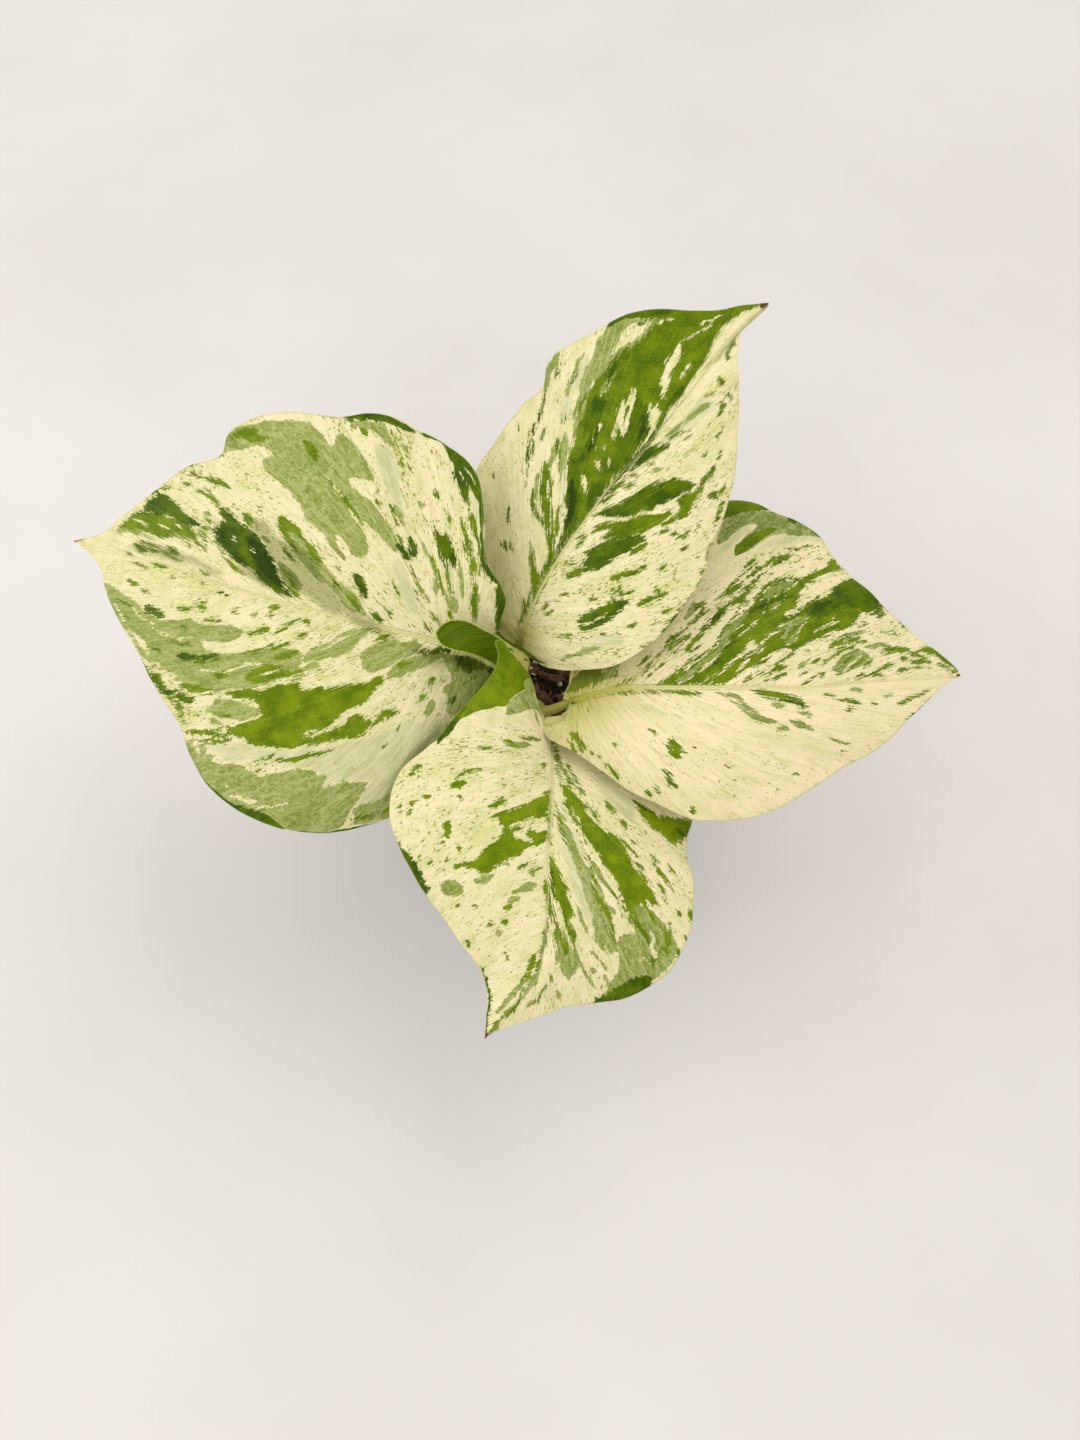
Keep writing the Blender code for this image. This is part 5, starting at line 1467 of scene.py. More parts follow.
def plain_leaf_material():
    """The young blade: one saturated green with fine side veins and a light rim that is partly its pale margin and
    partly a painted highlight on the rolled edge, cream at its foot.
    """
    n = Nodes("leaf_young")
    vein = n.attr("vein", "Vector")
    place = n.scaled(n.node("ShaderNodeTexCoord").outputs["Object"], (1000.0, 1000.0, 1000.0))
    edge, under, cream = n.attr("edge"), n.attr("under"), n.attr("m_cream")
    wash = n.noise(n.scaled(vein, (0.5, 0.10, 1.0)), 1.0, 4.0, 0.6)
    grit = n.noise(place, 3.6, 2.0, 0.7)
    colour = n.mix(n.ramp(wash, 0.35, 0.68), (0.078, 0.132, 0.0006), (0.122, 0.184, 0.0010))
    colour = n.mix(n.ramp(grit, 0.48, 0.74, 0.0, 0.35), colour, (0.17, 0.23, 0.003))
    rag = n.mul(n.sub(n.noise(n.scaled(vein, (1.1, 0.25, 1.0)), 1.0, 4.0, 0.6), 0.5), 7.0)
    pale = n.ramp(n.add(cream, rag), -0.4, 0.4)
    colour = n.mix(pale, colour, n.mix(n.ramp(grit, 0.4, 0.7), (0.98, 0.90, 0.31), (0.80, 0.78, 0.20)))
    lines = n.ramp(n.attr("side_vein"), 0.02, 0.2, 0.14, 0.0)
    colour = n.mix(lines, colour, (0.22, 0.30, 0.012))
    # light rim: partly the pale margin, partly a painted highlight where the rolled edge catches the light
    rim = n.ramp(edge, 0.12, 0.42, 0.9, 0.0)
    colour = n.mix(rim, colour, (0.42, 0.52, 0.11))
    colour = n.mix(under, colour, n.mix(0.5, colour, (0.28, 0.36, 0.09)))
    rough = n.blend(under, n.add(0.40, n.mul(n.sub(wash, 0.5), 0.1)), 0.58)
    normal = n.bump(n.noise(n.scaled(vein, (3.0, 0.3, 1.0)), 1.0, 3.0, 0.55), 0.25, 0.00015)
    return n.finish(colour, rough, normal, Specular_IOR_Level=0.10)


def stalk_material(name, fresh, aged, dry):
    """Petioles and stem: long streaks, a little red brown, drier towards the foot."""
    n = Nodes(name)
    along = n.attr("along", "Vector")  # millimetres round, millimetres along, 0
    streak = n.noise(n.scaled(along, (1.6, 0.10, 1.0)), 1.0, 4.0, 0.65)
    spot = n.noise(n.scaled(along, (0.9, 0.5, 1.0)), 1.0, 4.0, 0.6)
    colour = n.mix(n.ramp(streak, 0.35, 0.68), fresh, aged)
    colour = n.mix(n.ramp(n.add(spot, n.mul(n.attr("age"), 0.5)), 0.62, 0.92), colour, dry)
    fine = n.noise(n.scaled(along, (5.0, 0.35, 1.0)), 1.0, 3.0, 0.6)
    rough = n.add(0.42, n.mul(n.attr("age"), 0.2))
    normal = n.bump(fine, 0.35, 0.00022)
    return n.finish(colour, rough, normal, Specular_IOR_Level=0.4)


def sheath_material():
    n = Nodes("sheath_dry")
    along = n.attr("along", "Vector")
    streak = n.noise(n.scaled(along, (2.4, 0.22, 1.0)), 1.0, 5.0, 0.7)
    colour = n.mix(n.ramp(streak, 0.3, 0.7), (0.40, 0.24, 0.10), (0.20, 0.095, 0.035))
    colour = n.mix(n.ramp(n.noise(n.scaled(along, (0.6, 0.3, 1.0)), 1.0, 3.0), 0.5, 0.75, 0.0, 0.6), colour, (0.52, 0.38, 0.19))
    normal = n.bump(streak, 0.6, 0.0004)
    return n.finish(colour, 0.68, normal, Specular_IOR_Level=0.25)


def mix_material():
    n = Nodes("mix_fine")
    place = n.scaled(n.node("ShaderNodeTexCoord").outputs["Object"], (1000.0, 1000.0, 1000.0))
    coarse = n.noise(place, 0.55, 5.0, 0.65)
    fine = n.noise(place, 2.6, 4.0, 0.7)
    colour = n.mix(n.ramp(coarse, 0.36, 0.66), (0.020, 0.0095, 0.005), (0.070, 0.032, 0.015))
    colour = n.mix(n.ramp(fine, 0.60, 0.76, 0.0, 0.75), colour, (0.145, 0.075, 0.038))
    colour = n.mix(n.ramp(n.voronoi(place, 0.8), 0.06, 0.13, 0.55, 0.0), colour, (0.42, 0.36, 0.29))
    normal = n.bump(n.add(n.mul(coarse, 0.6), n.mul(fine, 0.5)), 0.9, 0.0011)
    return n.finish(colour, n.ramp(coarse, 0.3, 0.7, 0.95, 0.78), normal, Specular_IOR_Level=0.25)


def bark_material():
    n = Nodes("bark_chips")
    place = n.scaled(n.node("ShaderNodeTexCoord").outputs["Object"], (1000.0, 1000.0, 1000.0))
    tone = n.attr("tone")
    grain = n.noise(n.scaled(n.attr("along", "Vector"), (2.2, 0.35, 1.4)), 1.0, 5.0, 0.68)
    fine = n.noise(place, 3.4, 3.0, 0.7)
    colour = n.mix(n.ramp(grain, 0.34, 0.68), (0.040, 0.017, 0.0085), (0.165, 0.070, 0.034))
    colour = n.mix(n.mul(tone, 0.75), colour, (0.235, 0.110, 0.058))
    colour = n.mix(n.ramp(fine, 0.55, 0.8, 0.0, 0.5), colour, (0.21, 0.125, 0.072))
    normal = n.bump(n.add(n.mul(grain, 0.7), n.mul(fine, 0.3)), 0.85, 0.0006)
    return n.finish(colour, n.ramp(grain, 0.3, 0.7, 0.92, 0.72), normal, Specular_IOR_Level=0.28)


def perlite_material():
    n = Nodes("perlite")
    place = n.scaled(n.node("ShaderNodeTexCoord").outputs["Object"], (1000.0, 1000.0, 1000.0))
    lump = n.noise(place, 1.4, 4.0, 0.65)
    pore = n.voronoi(place, 2.2)
    colour = n.mix(n.ramp(lump, 0.35, 0.65), (0.52, 0.45, 0.37), (0.80, 0.75, 0.67))
    colour = n.mix(n.ramp(pore, 0.08, 0.24, 0.55, 0.0), colour, (0.26, 0.18, 0.12))
    normal = n.bump(n.add(lump, n.mul(pore, 0.7)), 0.8, 0.0005)
    return n.finish(colour, 0.86, normal, Specular_IOR_Level=0.3)


def pot_material():
    """Thin black nursery plastic: dust, rubbed edges, drag lines of the mould and dried splashes."""
    n = Nodes("pot_black")
    place = n.scaled(n.node("ShaderNodeTexCoord").outputs["Object"], (1000.0, 1000.0, 1000.0))
    height = n.attr("height")  # millimetres above the foot
    edge = n.attr("worn")  # 1 on rims and steps
    cloud = n.noise(place, 0.055, 4.0, 0.6)
    fine = n.noise(place, 1.1, 4.0, 0.7)
    ringed = n.noise(n.scaled(place, (0.02, 0.02, 1.6)), 1.0, 3.0, 0.6)
    rays = n.noise(n.scaled(place, (0.55, 0.55, 0.03)), 1.0, 3.0, 0.65)
    colour = n.mix(n.ramp(cloud, 0.35, 0.7), (0.0085, 0.0085, 0.0095), (0.020, 0.019, 0.0185))
    dust = n.mul(n.ramp(n.add(n.mul(cloud, 0.6), n.mul(fine, 0.4)), 0.42, 0.68), n.ramp(height, 4.0, 30.0, 0.75, 0.25))
    colour = n.mix(n.mul(dust, 0.45), colour, (0.095, 0.082, 0.068))
    splash = n.ramp(n.voronoi(n.scaled(place, (0.16, 0.16, 0.12)), 1.0), 0.10, 0.16, 1.0, 0.0)
    ring = n.ramp(n.voronoi(n.scaled(place, (0.16, 0.16, 0.12)), 1.0), 0.07, 0.11)
    colour = n.mix(n.mul(n.mul(splash, n.madd(ring, 0.6, 0.4)), n.ramp(fine, 0.45, 0.6, 0.0, 0.3)), colour, (0.17, 0.15, 0.125))
    colour = n.mix(n.mul(edge, n.ramp(fine, 0.35, 0.62, 0.12, 0.45)), colour, (0.085, 0.083, 0.082))
    rough = n.add(n.ramp(cloud, 0.3, 0.7, 0.38, 0.52), n.mul(dust, 0.28))
    normal = n.bump(n.add(n.mul(ringed, 0.4), n.add(n.mul(rays, 0.25), n.mul(fine, 0.2))), 0.42, 0.00030)
    return n.finish(colour, rough, normal, Specular_IOR_Level=0.5)


def floor_material():
    n = Nodes("floor_pale")
    place = n.node("ShaderNodeTexCoord").outputs["Object"]
    cloud = n.noise(place, 5.0, 4.0, 0.55)
    fine = n.noise(place, 220.0, 3.0, 0.6)
    colour = n.mix(n.ramp(cloud, 0.3, 0.7), (0.70, 0.665, 0.64), (0.76, 0.725, 0.70))
    normal = n.bump(fine, 0.12, 0.0003)
    return n.finish(colour, 0.85, normal, Specular_IOR_Level=0.2)


# ------------------------------------------------------------------------------------------------ blades
ROWS, COLS = 440, 44
THICK, RIM_THICK = 0.50, 0.20

# Warmth of the cream ground on each half, size of the dry tip in millimetres, tiny red brown bites (across, down, px),
# and in 'base' the strength and the reach in millimetres of the painted shade that darkens the blade towards its foot.
LOOKS = {
    "leaf_left": dict(seed=11, sage=0.06, deepen=0.10, rib=0.80, beside=0.34, base=(0.45, 12.0), warm=(0.55, 0.35), tip=0.9, bites=[]),
    "leaf_top": dict(seed=12, sage=-0.45, deepen=0.60, rib=0.75, beside=0.30, base=(0.85, 19.0), warm=(0.50, 0.60), tip=2.6, bites=[]),
    "leaf_right": dict(seed=13, sage=-0.95, deepen=0.40, rib=0.90, beside=0.16, base=(1.0, 30.0), warm=(0.90, 1.0), tip=1.0, bites=[(695, 748, 2.0)]),
    "leaf_front": dict(seed=14, sage=-0.25, deepen=0.0, rib=0.40, beside=0.30, base=(0.45, 9.0), warm=(0.45, 0.60), tip=2.4, bites=[]),
}


def value_noise(x, y, seed):
    """Smooth noise from -1 to 1 at places on a plane."""
    lattice = np.random.default_rng(seed).uniform(-1, 1, (64, 64))
    xi, yi = np.floor(x).astype(int), np.floor(y).astype(int)
    fx, fy = x - xi, y - yi
    fx, fy = fx * fx * (3 - 2 * fx), fy * fy * (3 - 2 * fy)
    a, b = lattice[xi % 64, yi % 64], lattice[(xi + 1) % 64, yi % 64]
    c, d = lattice[xi % 64, (yi + 1) % 64], lattice[(xi + 1) % 64, (yi + 1) % 64]
    return (a * (1 - fx) + b * fx) * (1 - fy) + (c * (1 - fx) + d * fx) * fy


def dense_line(points, parts=6):
    """A line with more points on it."""
    t = np.linspace(0, 1, parts, endpoint=False)[None, :, None]
    a, b = points[:-1, None], points[1:, None]
    return np.concatenate([(a + (b - a) * t).reshape(-1, 3), points[-1:]])


def near_line(points, line):
    """Distance from each point to a line of many points."""
    tree = KDTree(len(line))
    for i, p in enumerate(line.tolist()):
        tree.insert(p, i)
    tree.balance()
    return np.array([tree.find(p)[2] for p in points.tolist()])


def smooth_step(x):
    x = np.clip(x, 0, 1)
    return x * x * (3 - 2 * x)


def blade_grid(name):
    """The blade in the drawing frame: rows run along the side veins, columns from the far margin over the midrib to the near."""
    leaf = LEAVES[name]
    dense = np.linspace(0, 1, 20001)
    table = {}
    for half in ("far", "near"):
        pairs = leaf["veins_" + half]
        e = [0.0] + [fraction(leaf[half], p[1]) for p in pairs] + [1.0]
        m = [0.0] + [fraction(leaf["midrib"], p[0]) for p in pairs] + [1.0]
        table[half] = monotone(e, m, dense)
    both = np.sort(np.concatenate([table["far"], table["near"]]))
    mean = (np.interp(both, table["far"], dense) + np.interp(both, table["near"], dense)) / 2
    along = np.interp(np.linspace(0.0, 0.9985, ROWS + 1), mean, both)
    w = np.linspace(0.0, 1.0, COLS + 1)
    w = 0.45 * w + 0.55 * (1 - (1 - w) ** 1.5)
    mid = smooth_line(leaf["midrib"], along)
    d = smooth_line(leaf["midrib"], np.minimum(along + 0.01, 1))[:, :2] - smooth_line(leaf["midrib"], np.maximum(along - 0.01, 0))[:, :2]
    d /= np.linalg.norm(d, axis=1)[:, None]
    c = w[None, :, None]
    halves = []
    for side, half in enumerate(("far", "near")):
        edge = smooth_line(leaf[half], np.interp(along, table[half], dense))
        span = np.linalg.norm(edge[:, :2] - mid[:, :2], axis=1)
        bend = (mid + edge)[:, :2] / 2 - d * (leaf["bow"][side] * span)[:, None]
        run = (edge - mid)[:, :2] / span[:, None]
        turn = np.stack([-run[:, 1], run[:, 0]], axis=1)
        place_on = np.interp(along, table[half], dense)
        turn *= np.sign(((edge[np.argmin(np.abs(place_on - 0.5)), :2] - edge[:, :2]) * turn).sum(1))[:, None]
        amount, until = leaf["tuck"][side]
        bend += turn * (amount * span * (1 - smooth_step((place_on / until - 1) * 1.6)))[:, None]
        xy = (1 - c) ** 2 * mid[:, None, :2] + 2 * c * (1 - c) * bend[:, None] + c**2 * edge[:, None, :2]
        z = heights_at(height_table(leaf, half), xy.reshape(-1, 2)).reshape(ROWS + 1, COLS + 1)
        halves.append(np.concatenate([xy, z[..., None]], axis=2))
    grid = np.concatenate([halves[0][:, ::-1], halves[1][:, 1:]], axis=1)
    grid[..., 2] = smooth_grid(grid[..., 2], 10)
    return grid, along, w


def build_leaf(name, mat):
    look = LOOKS[name]
    seed = look["seed"]
    rng = np.random.default_rng(seed)
    grid, along, w = blade_grid(name)
    rows, cols = grid.shape[:2]
    mid = COLS
    wide = np.concatenate([w[::-1], w[1:]])[None, :]  # 0 on the midrib, 1 on the margins
    p = seen_point(grid)
    normal = grid_normals(p)
    for k in range(3):
        normal[..., k] = smooth_grid(normal[..., k], 4, keep_edges=False)
    normal /= np.linalg.norm(normal, axis=2)[..., None]
    flip = normal[..., 2].mean() < 0
    if flip:
        normal = -normal

    flat = p.reshape(-1, 3)
    edge = np.minimum(near_line(flat, dense_line(p[:, 0])), near_line(flat, dense_line(p[:, -1]))).reshape(rows, cols)
    rib = near_line(flat, dense_line(p[:, mid])).reshape(rows, cols)

    # distances over the rows and along them
    step = np.linalg.norm(np.diff(p, axis=0), axis=2)
    over = np.concatenate([np.zeros((1, cols)), np.cumsum(step, axis=0)])
    out = np.linalg.norm(np.diff(p, axis=1), axis=2)
    length = np.zeros((rows, cols))
    length[:, mid + 1 :] = np.cumsum(out[:, mid:], axis=1)
    length[:, :mid] = np.cumsum(out[:, :mid][:, ::-1], axis=1)[:, ::-1]
    ref = int(np.argmin(np.abs(w - 0.6)))
    vein = np.zeros((rows, cols, 3))
    squeeze = np.zeros((rows, cols))
    side_vein = np.zeros((rows, cols))
    step = np.concatenate([step, step[-1:]])
    for side, (here, at) in enumerate(((slice(0, mid + 1), mid - ref), (slice(mid, cols), mid + ref))):
        vein[:, here, 0] = over[:, at : at + 1]
        vein[:, here, 1] = length[:, here]
        vein[:, here, 2] = seed * 31 + side * 11
        squeeze[:, here] = step[:, here] / np.maximum(step[:, at : at + 1], 1e-6)
        picks = np.linspace(0.035, 0.93, 11) + rng.uniform(-0.012, 0.012, 11)
        picks = np.clip((picks * (rows - 1)).astype(int), 0, rows - 1)
        side_vein[:, here] = np.abs(over[:, None, here] - over[picks][None, :, here]).min(axis=1)
    squeeze = smooth_grid(np.clip(squeeze, 0, 1.5), 6, keep_edges=False)

    # relief: midrib channel, side veins with soft bulges between them, wavy margin
    fade = np.clip(1 - along, 0, 1)[:, None]
    u = np.linspace(0, 1, rows)[:, None]
    turn = rng.uniform(0, 2 * math.pi, 8)
    wave = np.where(
        np.arange(cols)[None, :] < mid,
        0.26 * np.sin(2 * math.pi * 3.3 * u + turn[0]) + 0.18 * np.sin(2 * math.pi * 7.1 * u + turn[1]) + 0.10 * np.sin(2 * math.pi * 14.3 * u + turn[2]),
        0.26 * np.sin(2 * math.pi * 3.7 * u + turn[3]) + 0.18 * np.sin(2 * math.pi * 6.7 * u + turn[4]) + 0.10 * np.sin(2 * math.pi * 13.1 * u + turn[5]),
    )
    relief = -0.42 * np.exp(-((rib / 0.85) ** 2)) * (0.35 + 0.65 * fade)
    relief += 0.16 * np.exp(-(((rib - 2.0) / 1.3) ** 2)) * fade
    relief += -0.055 * np.exp(-((side_vein / 0.40) ** 2)) * (1 - wide**3)
    relief += 0.085 * (1 - np.exp(-((side_vein / 2.4) ** 2))) * 4 * wide * (1 - wide)
    relief += wave * wide**2.5
    relief += 0.09 * value_noise(p[..., 0] / 3.5, p[..., 1] / 3.5, seed + 1)
    thick = RIM_THICK + (THICK - RIM_THICK) * smooth_step(edge / 1.2)
    keel = 0.5 * np.exp(-((rib / 0.8) ** 2)) * (0.3 + 0.7 * fade)
    top = p + normal * relief[..., None]
    bottom = p + normal * (0.6 * relief - thick - keel)[..., None]
    bottom[:, 0] = top[:, 0] - normal[:, 0] * RIM_THICK
    bottom[:, -1] = top[:, -1] - normal[:, -1] * RIM_THICK

    upper, lower, wall = shell_faces(rows, cols)
    faces = np.concatenate([upper, lower, wall])
    if flip:
        faces = faces[:, ::-1]
    obj = mesh_object(name + "_blade", np.concatenate([top.reshape(-1, 3), bottom.reshape(-1, 3)]), faces, mat)

    xy = grid[..., :2].reshape(-1, 2)
    warp = np.stack([value_noise(xy[:, 0] / 8, xy[:, 1] / 8, seed + 2), value_noise(xy[:, 0] / 8, xy[:, 1] / 8, seed + 3)], axis=1)
    marks = paint(xy + warp * 1.1, parse_marks(MARKS[name]))
    spots = {}
    for k, key in enumerate(("m_mint", "m_sage", "m_green", "m_dark", "m_deep", "m_calm", "m_shade")):
        spots[key] = marks[k]
    far = np.arange(cols)[None, :] <= mid
    t = np.clip(along, 0, 1)[:, None]
    f, g = SPECKLE[name]["far"], SPECKLE[name]["near"]
    speckle = np.where(far, f[0] + (f[1] - f[0]) * t, g[0] + (g[1] - g[0]) * t)
    blend = smooth_step((length * np.where(far, -1, 1) / 6 + 1) / 2)
    warm = look["warm"][0] + (look["warm"][1] - look["warm"][0]) * blend
    tip_at = p[-1, mid]
    tip = np.clip(1.45 - np.linalg.norm(p - tip_at, axis=2) / look["tip"], 0, 1)
    bite = np.zeros((rows, cols))
    for x, y, r in look["bites"]:
        bite = np.maximum(bite, np.clip(1.3 - np.linalg.norm(grid[..., :2] - (x, y), axis=2) / r, 0, 1))
    pale = np.clip(1.15 - 0.95 * t, 0, 1) * np.ones((1, cols))
    # painted shade at the blade's foot, strongest at the midrib's base and fading out over look['base'][1] millimetres
    basal = look["base"][0] * smooth_step(1 - np.linalg.norm(p - p[0, mid], axis=2) / look["base"][1])
    rib_wide = look["rib"] * np.clip(1.10 - 0.95 * t**0.6, 0.40, 1.10)
    spots.update(sage_pale=np.full((rows, cols), max(look["sage"], 0.0)), sage_deep=np.full((rows, cols), max(-look["sage"], 0.0)), deepen=np.full((rows, cols), look["deepen"]), basal=basal, beside=np.full((rows, cols), look["beside"]))
    spots.update(edge=edge, rib=rib / rib_wide, side_vein=side_vein, squeeze=squeeze, speckle=speckle, warm=warm, tip=tip, bite=bite, rib_pale=pale)
    for key, value in spots.items():
        set_values(obj.data, key, np.tile(np.asarray(value).ravel(), 2))
    set_values(obj.data, "vein", np.tile(vein.reshape(-1, 3), (2, 1)))
    set_values(obj.data, "under", np.repeat([0.0, 1.0], rows * cols))
    return obj


def build_young(mat):
    rows, cols = 200, 60
    s = np.linspace(0, 1, rows)
    upper, lower = smooth_line(YOUNG_UPPER, s), smooth_line(YOUNG_LOWER, s)
    upper[:, 2] = np.interp(s, np.linspace(0, 1, 11), [q[2] for q in YOUNG_UPPER])
    lower[:, 2] = np.interp(s, np.linspace(0, 1, 11), [q[2] for q in YOUNG_LOWER])
    w = np.linspace(0, 1, cols)[None, :, None]
    grid = (1 - w) * upper[:, None] + w * lower[:, None]
    depth = YOUNG_DEPTH * np.clip((1.03 - s) * 5, 0, 1) ** 0.5
    grid[..., 2] -= depth[:, None] * (4 * w * (1 - w))[..., 0] ** 0.6
    grid[..., 2] = smooth_grid(grid[..., 2], 12)
    p = seen_point(grid)
    normal = grid_normals(p)
    for k in range(3):
        normal[..., k] = smooth_grid(normal[..., k], 6, keep_edges=False)
    normal /= np.linalg.norm(normal, axis=2)[..., None]
    flip = normal[..., 2].mean() < 0
    if flip:
        normal = -normal
    flat = p.reshape(-1, 3)
    border = np.concatenate([p[:, 0], p[-1], p[::-1, -1]])
    edge = near_line(flat, dense_line(border)).reshape(rows, cols)
    over = np.concatenate([np.zeros((1, cols)), np.cumsum(np.linalg.norm(np.diff(p, axis=0), axis=2), axis=0)])
    out = np.concatenate([np.zeros((rows, 1)), np.cumsum(np.linalg.norm(np.diff(p, axis=1), axis=2), axis=1)], axis=1)
    # side veins slant from the rim towards the free end
    slant = over - out * 0.7
    side_vein = np.abs((slant + 0.8) % 1.7 - 0.85)
    relief = 0.06 * np.cos(side_vein * 3.6) + 0.05 * value_noise(p[..., 0] / 2, p[..., 1] / 2, 5)
    thick = 0.22 + 0.25 * smooth_step(edge / 1.0)
    top = p + normal * relief[..., None]
    bottom = p - normal * thick[..., None]
    upper_f, lower_f, wall = shell_faces(rows, cols)
    faces = np.concatenate([upper_f, lower_f, wall])
    if flip:
        faces = faces[:, ::-1]
    obj = mesh_object("young_leaf_blade", np.concatenate([top.reshape(-1, 3), bottom.reshape(-1, 3)]), faces, mat)
    x, y = grid[..., 0], grid[..., 1]
    cream = np.clip(x - 503 - 0.15 * (y - 650), -6, 6)
    for points, half in (([(508, 647), (514, 652)], 0.7), ([(517, 661), (521, 664)], 0.8), ([(524, 659), (528, 661)], 0.6)):
        d = stroke_depth(grid[..., :2].reshape(-1, 2), np.array(points, float), half).reshape(rows, cols)
        cream = np.minimum(cream, -d)
    for key, value in (("edge", edge), ("side_vein", side_vein), ("m_cream", cream)):
        set_values(obj.data, key, np.tile(value.ravel(), 2))
    vein = np.stack([slant, out, np.full_like(out, 71.0)], axis=2)
    set_values(obj.data, "vein", np.tile(vein.reshape(-1, 3), (2, 1)))
    set_values(obj.data, "under", np.repeat([0.0, 1.0], rows * cols))
    return obj


# ------------------------------------------------------------------------------------------------ stalks
def smooth_path(points, at):
    """A smooth curve through points in space, read at fractions of its length."""
    q = np.asarray(points, float)
    step = np.linalg.norm(np.diff(q, axis=0), axis=1)
    knot = np.concatenate([[0.0], np.cumsum(step)])
    chord = np.diff(q, axis=0) / step[:, None]
    slope = np.empty_like(q)
    slope[0], slope[-1] = chord[0], chord[-1]
    for i in range(1, len(q) - 1):
        slope[i] = (chord[i - 1] * step[i] + chord[i] * step[i - 1]) / (step[i - 1] + step[i])
    x = np.asarray(at, float) * knot[-1]
    k = np.clip(np.searchsorted(knot, x, side="right") - 1, 0, len(step) - 1)
    h, u = step[k][:, None], ((x - knot[k]) / step[k])[:, None]
    return (
        (2 * u**3 - 3 * u**2 + 1) * q[k] + (u**3 - 2 * u**2 + u) * h * slope[k]
        + (-2 * u**3 + 3 * u**2) * q[k + 1] + (u**3 - u**2) * h * slope[k + 1]
    )


def stalk(name, points, radii, mat, face, groove=0.0, rings=(), count=90, sides=40, seed=0, wings=0.0):
    """A stalk along a path. rings are (fraction, height, width) swellings; wings are the low flanges beside the groove."""
    at = np.linspace(0, 1, count)
    centre = smooth_path(points, at)
    run = np.concatenate([[0.0], np.cumsum(np.linalg.norm(np.diff(centre, axis=0), axis=1))])
    radius = np.interp(at, np.linspace(0, 1, len(radii)), radii)
    for f, h, wd in rings:
        radius = radius + h * np.exp(-(((at - f) / wd) ** 2))
    up = np.array(face, float)
    verts, along = [], []
    for i in range(count):
        ahead = centre[min(i + 1, count - 1)] - centre[max(i - 1, 0)]
        ahead /= np.linalg.norm(ahead)
        up = up - (up @ ahead) * ahead
        up /= np.linalg.norm(up)
        across = np.cross(ahead, up)
        for k in range(sides):
            turn = math.remainder(2 * math.pi * k / sides, 2 * math.pi)
            r = radius[i] * (1 - groove * math.exp(-((turn / 0.5) ** 2)))
            lift = wings * max(0.0, 1 - at[i] * 1.6)
            r += lift * math.exp(-(((abs(turn) - 0.75) / 0.22) ** 2))
            r += 0.05 * math.sin(7 * turn + 0.5 * run[i] + seed) * math.sin(0.9 * run[i] + seed)
            verts.append(centre[i] + r * (math.cos(turn) * up + math.sin(turn) * across))
            along.append((radius[i] * turn, run[i], seed * 9.0))
    faces = []
    for i in range(count - 1):
        for k in range(sides):
            m = (k + 1) % sides
            faces.append((i * sides + k, i * sides + m, (i + 1) * sides + m, (i + 1) * sides + k))
    faces.append(tuple(reversed(range(sides))))
    faces.append(tuple((count - 1) * sides + k for k in range(sides)))
    obj = mesh_object(name, verts, faces, mat)
    bm = bmesh.new()
    bm.from_mesh(obj.data)
    bmesh.ops.recalc_face_normals(bm, faces=bm.faces)
    bm.to_mesh(obj.data)
    bm.free()
    set_values(obj.data, "along", along)
    set_values(obj.data, "age", np.repeat(np.clip(1 - run / 14.0, 0, 1), sides))
    return obj


def build_stalks():
    fresh = stalk_material("petiole_green", (0.17, 0.20, 0.012), (0.34, 0.34, 0.045), (0.13, 0.065, 0.018))
    pale = stalk_material("petiole_pale", (0.50, 0.44, 0.075), (0.36, 0.36, 0.045), (0.16, 0.09, 0.025))
    woody = stalk_material("stem_green", (0.12, 0.15, 0.012), (0.22, 0.23, 0.03), (0.14, 0.08, 0.030))
    out = []
    stem_path = [(-9.5, 5.0, 66.0), (-9.1, 4.0, 71.0), (-8.5, 2.5, 74.0), (-7.2, -2.5, 87.5), (-6.1, -8.0, 98.0)]
    rings = [(0.36, 0.28, 0.012), (0.50, 0.34, 0.014), (0.66, 0.34, 0.014), (0.80, 0.34, 0.014), (0.93, 0.25, 0.014)]
    out.append((stalk("stem_vine", stem_path, [3.3, 3.4, 3.25, 3.1, 2.9, 2.4], woody, (0, -1, 0), rings=rings, count=140, sides=48, seed=3), "stem"))
    ways = {
        "petiole_left": ((-7.9, 0.0, 81.5), (-19.5, 1.0, 97.0), "leaf_left", fresh),
        "petiole_top": ((-7.5, -1.6, 85.5), (-9.5, 5.0, 100.0), "leaf_top", fresh),
        "petiole_right": ((-7.2, -3.2, 89.0), tuple(seen_point((546, 711, 106.5))), "leaf_right", pale),
        "petiole_front": ((-6.7, -6.0, 93.5), (-3.5, -19.5, 99.0), "leaf_front", fresh),
    }
    for k, (name, (start, via, leaf, mat)) in enumerate(ways.items()):
        midrib = np.asarray(LEAVES[leaf]["midrib"], float)
        joint = midrib[0] - (0, 0, LEAF_THICK + 1.5)
        base = seen_point(joint)
        ahead = seen_point(smooth_line(LEAVES[leaf]["midrib"], [0.035, 0.09]) - (0, 0, 1.15))
        first = seen_point(midrib[0] - (0, 0, 1.3))
        start, via = np.array(start), np.array(via)
        points = [start, 0.45 * start + 0.55 * via, via, 0.4 * via + 0.6 * base, 0.1 * via + 0.9 * base, 0.5 * first + 0.5 * ahead[0], ahead[1]]
        radii = [2.15, 1.95, 1.75, 1.55, 1.35, 1.15, 0.45]
        out.append((stalk(name + "_stalk", points, radii, mat, start - via, groove=0.26, seed=k + 5, wings=0.35), name))
    return out


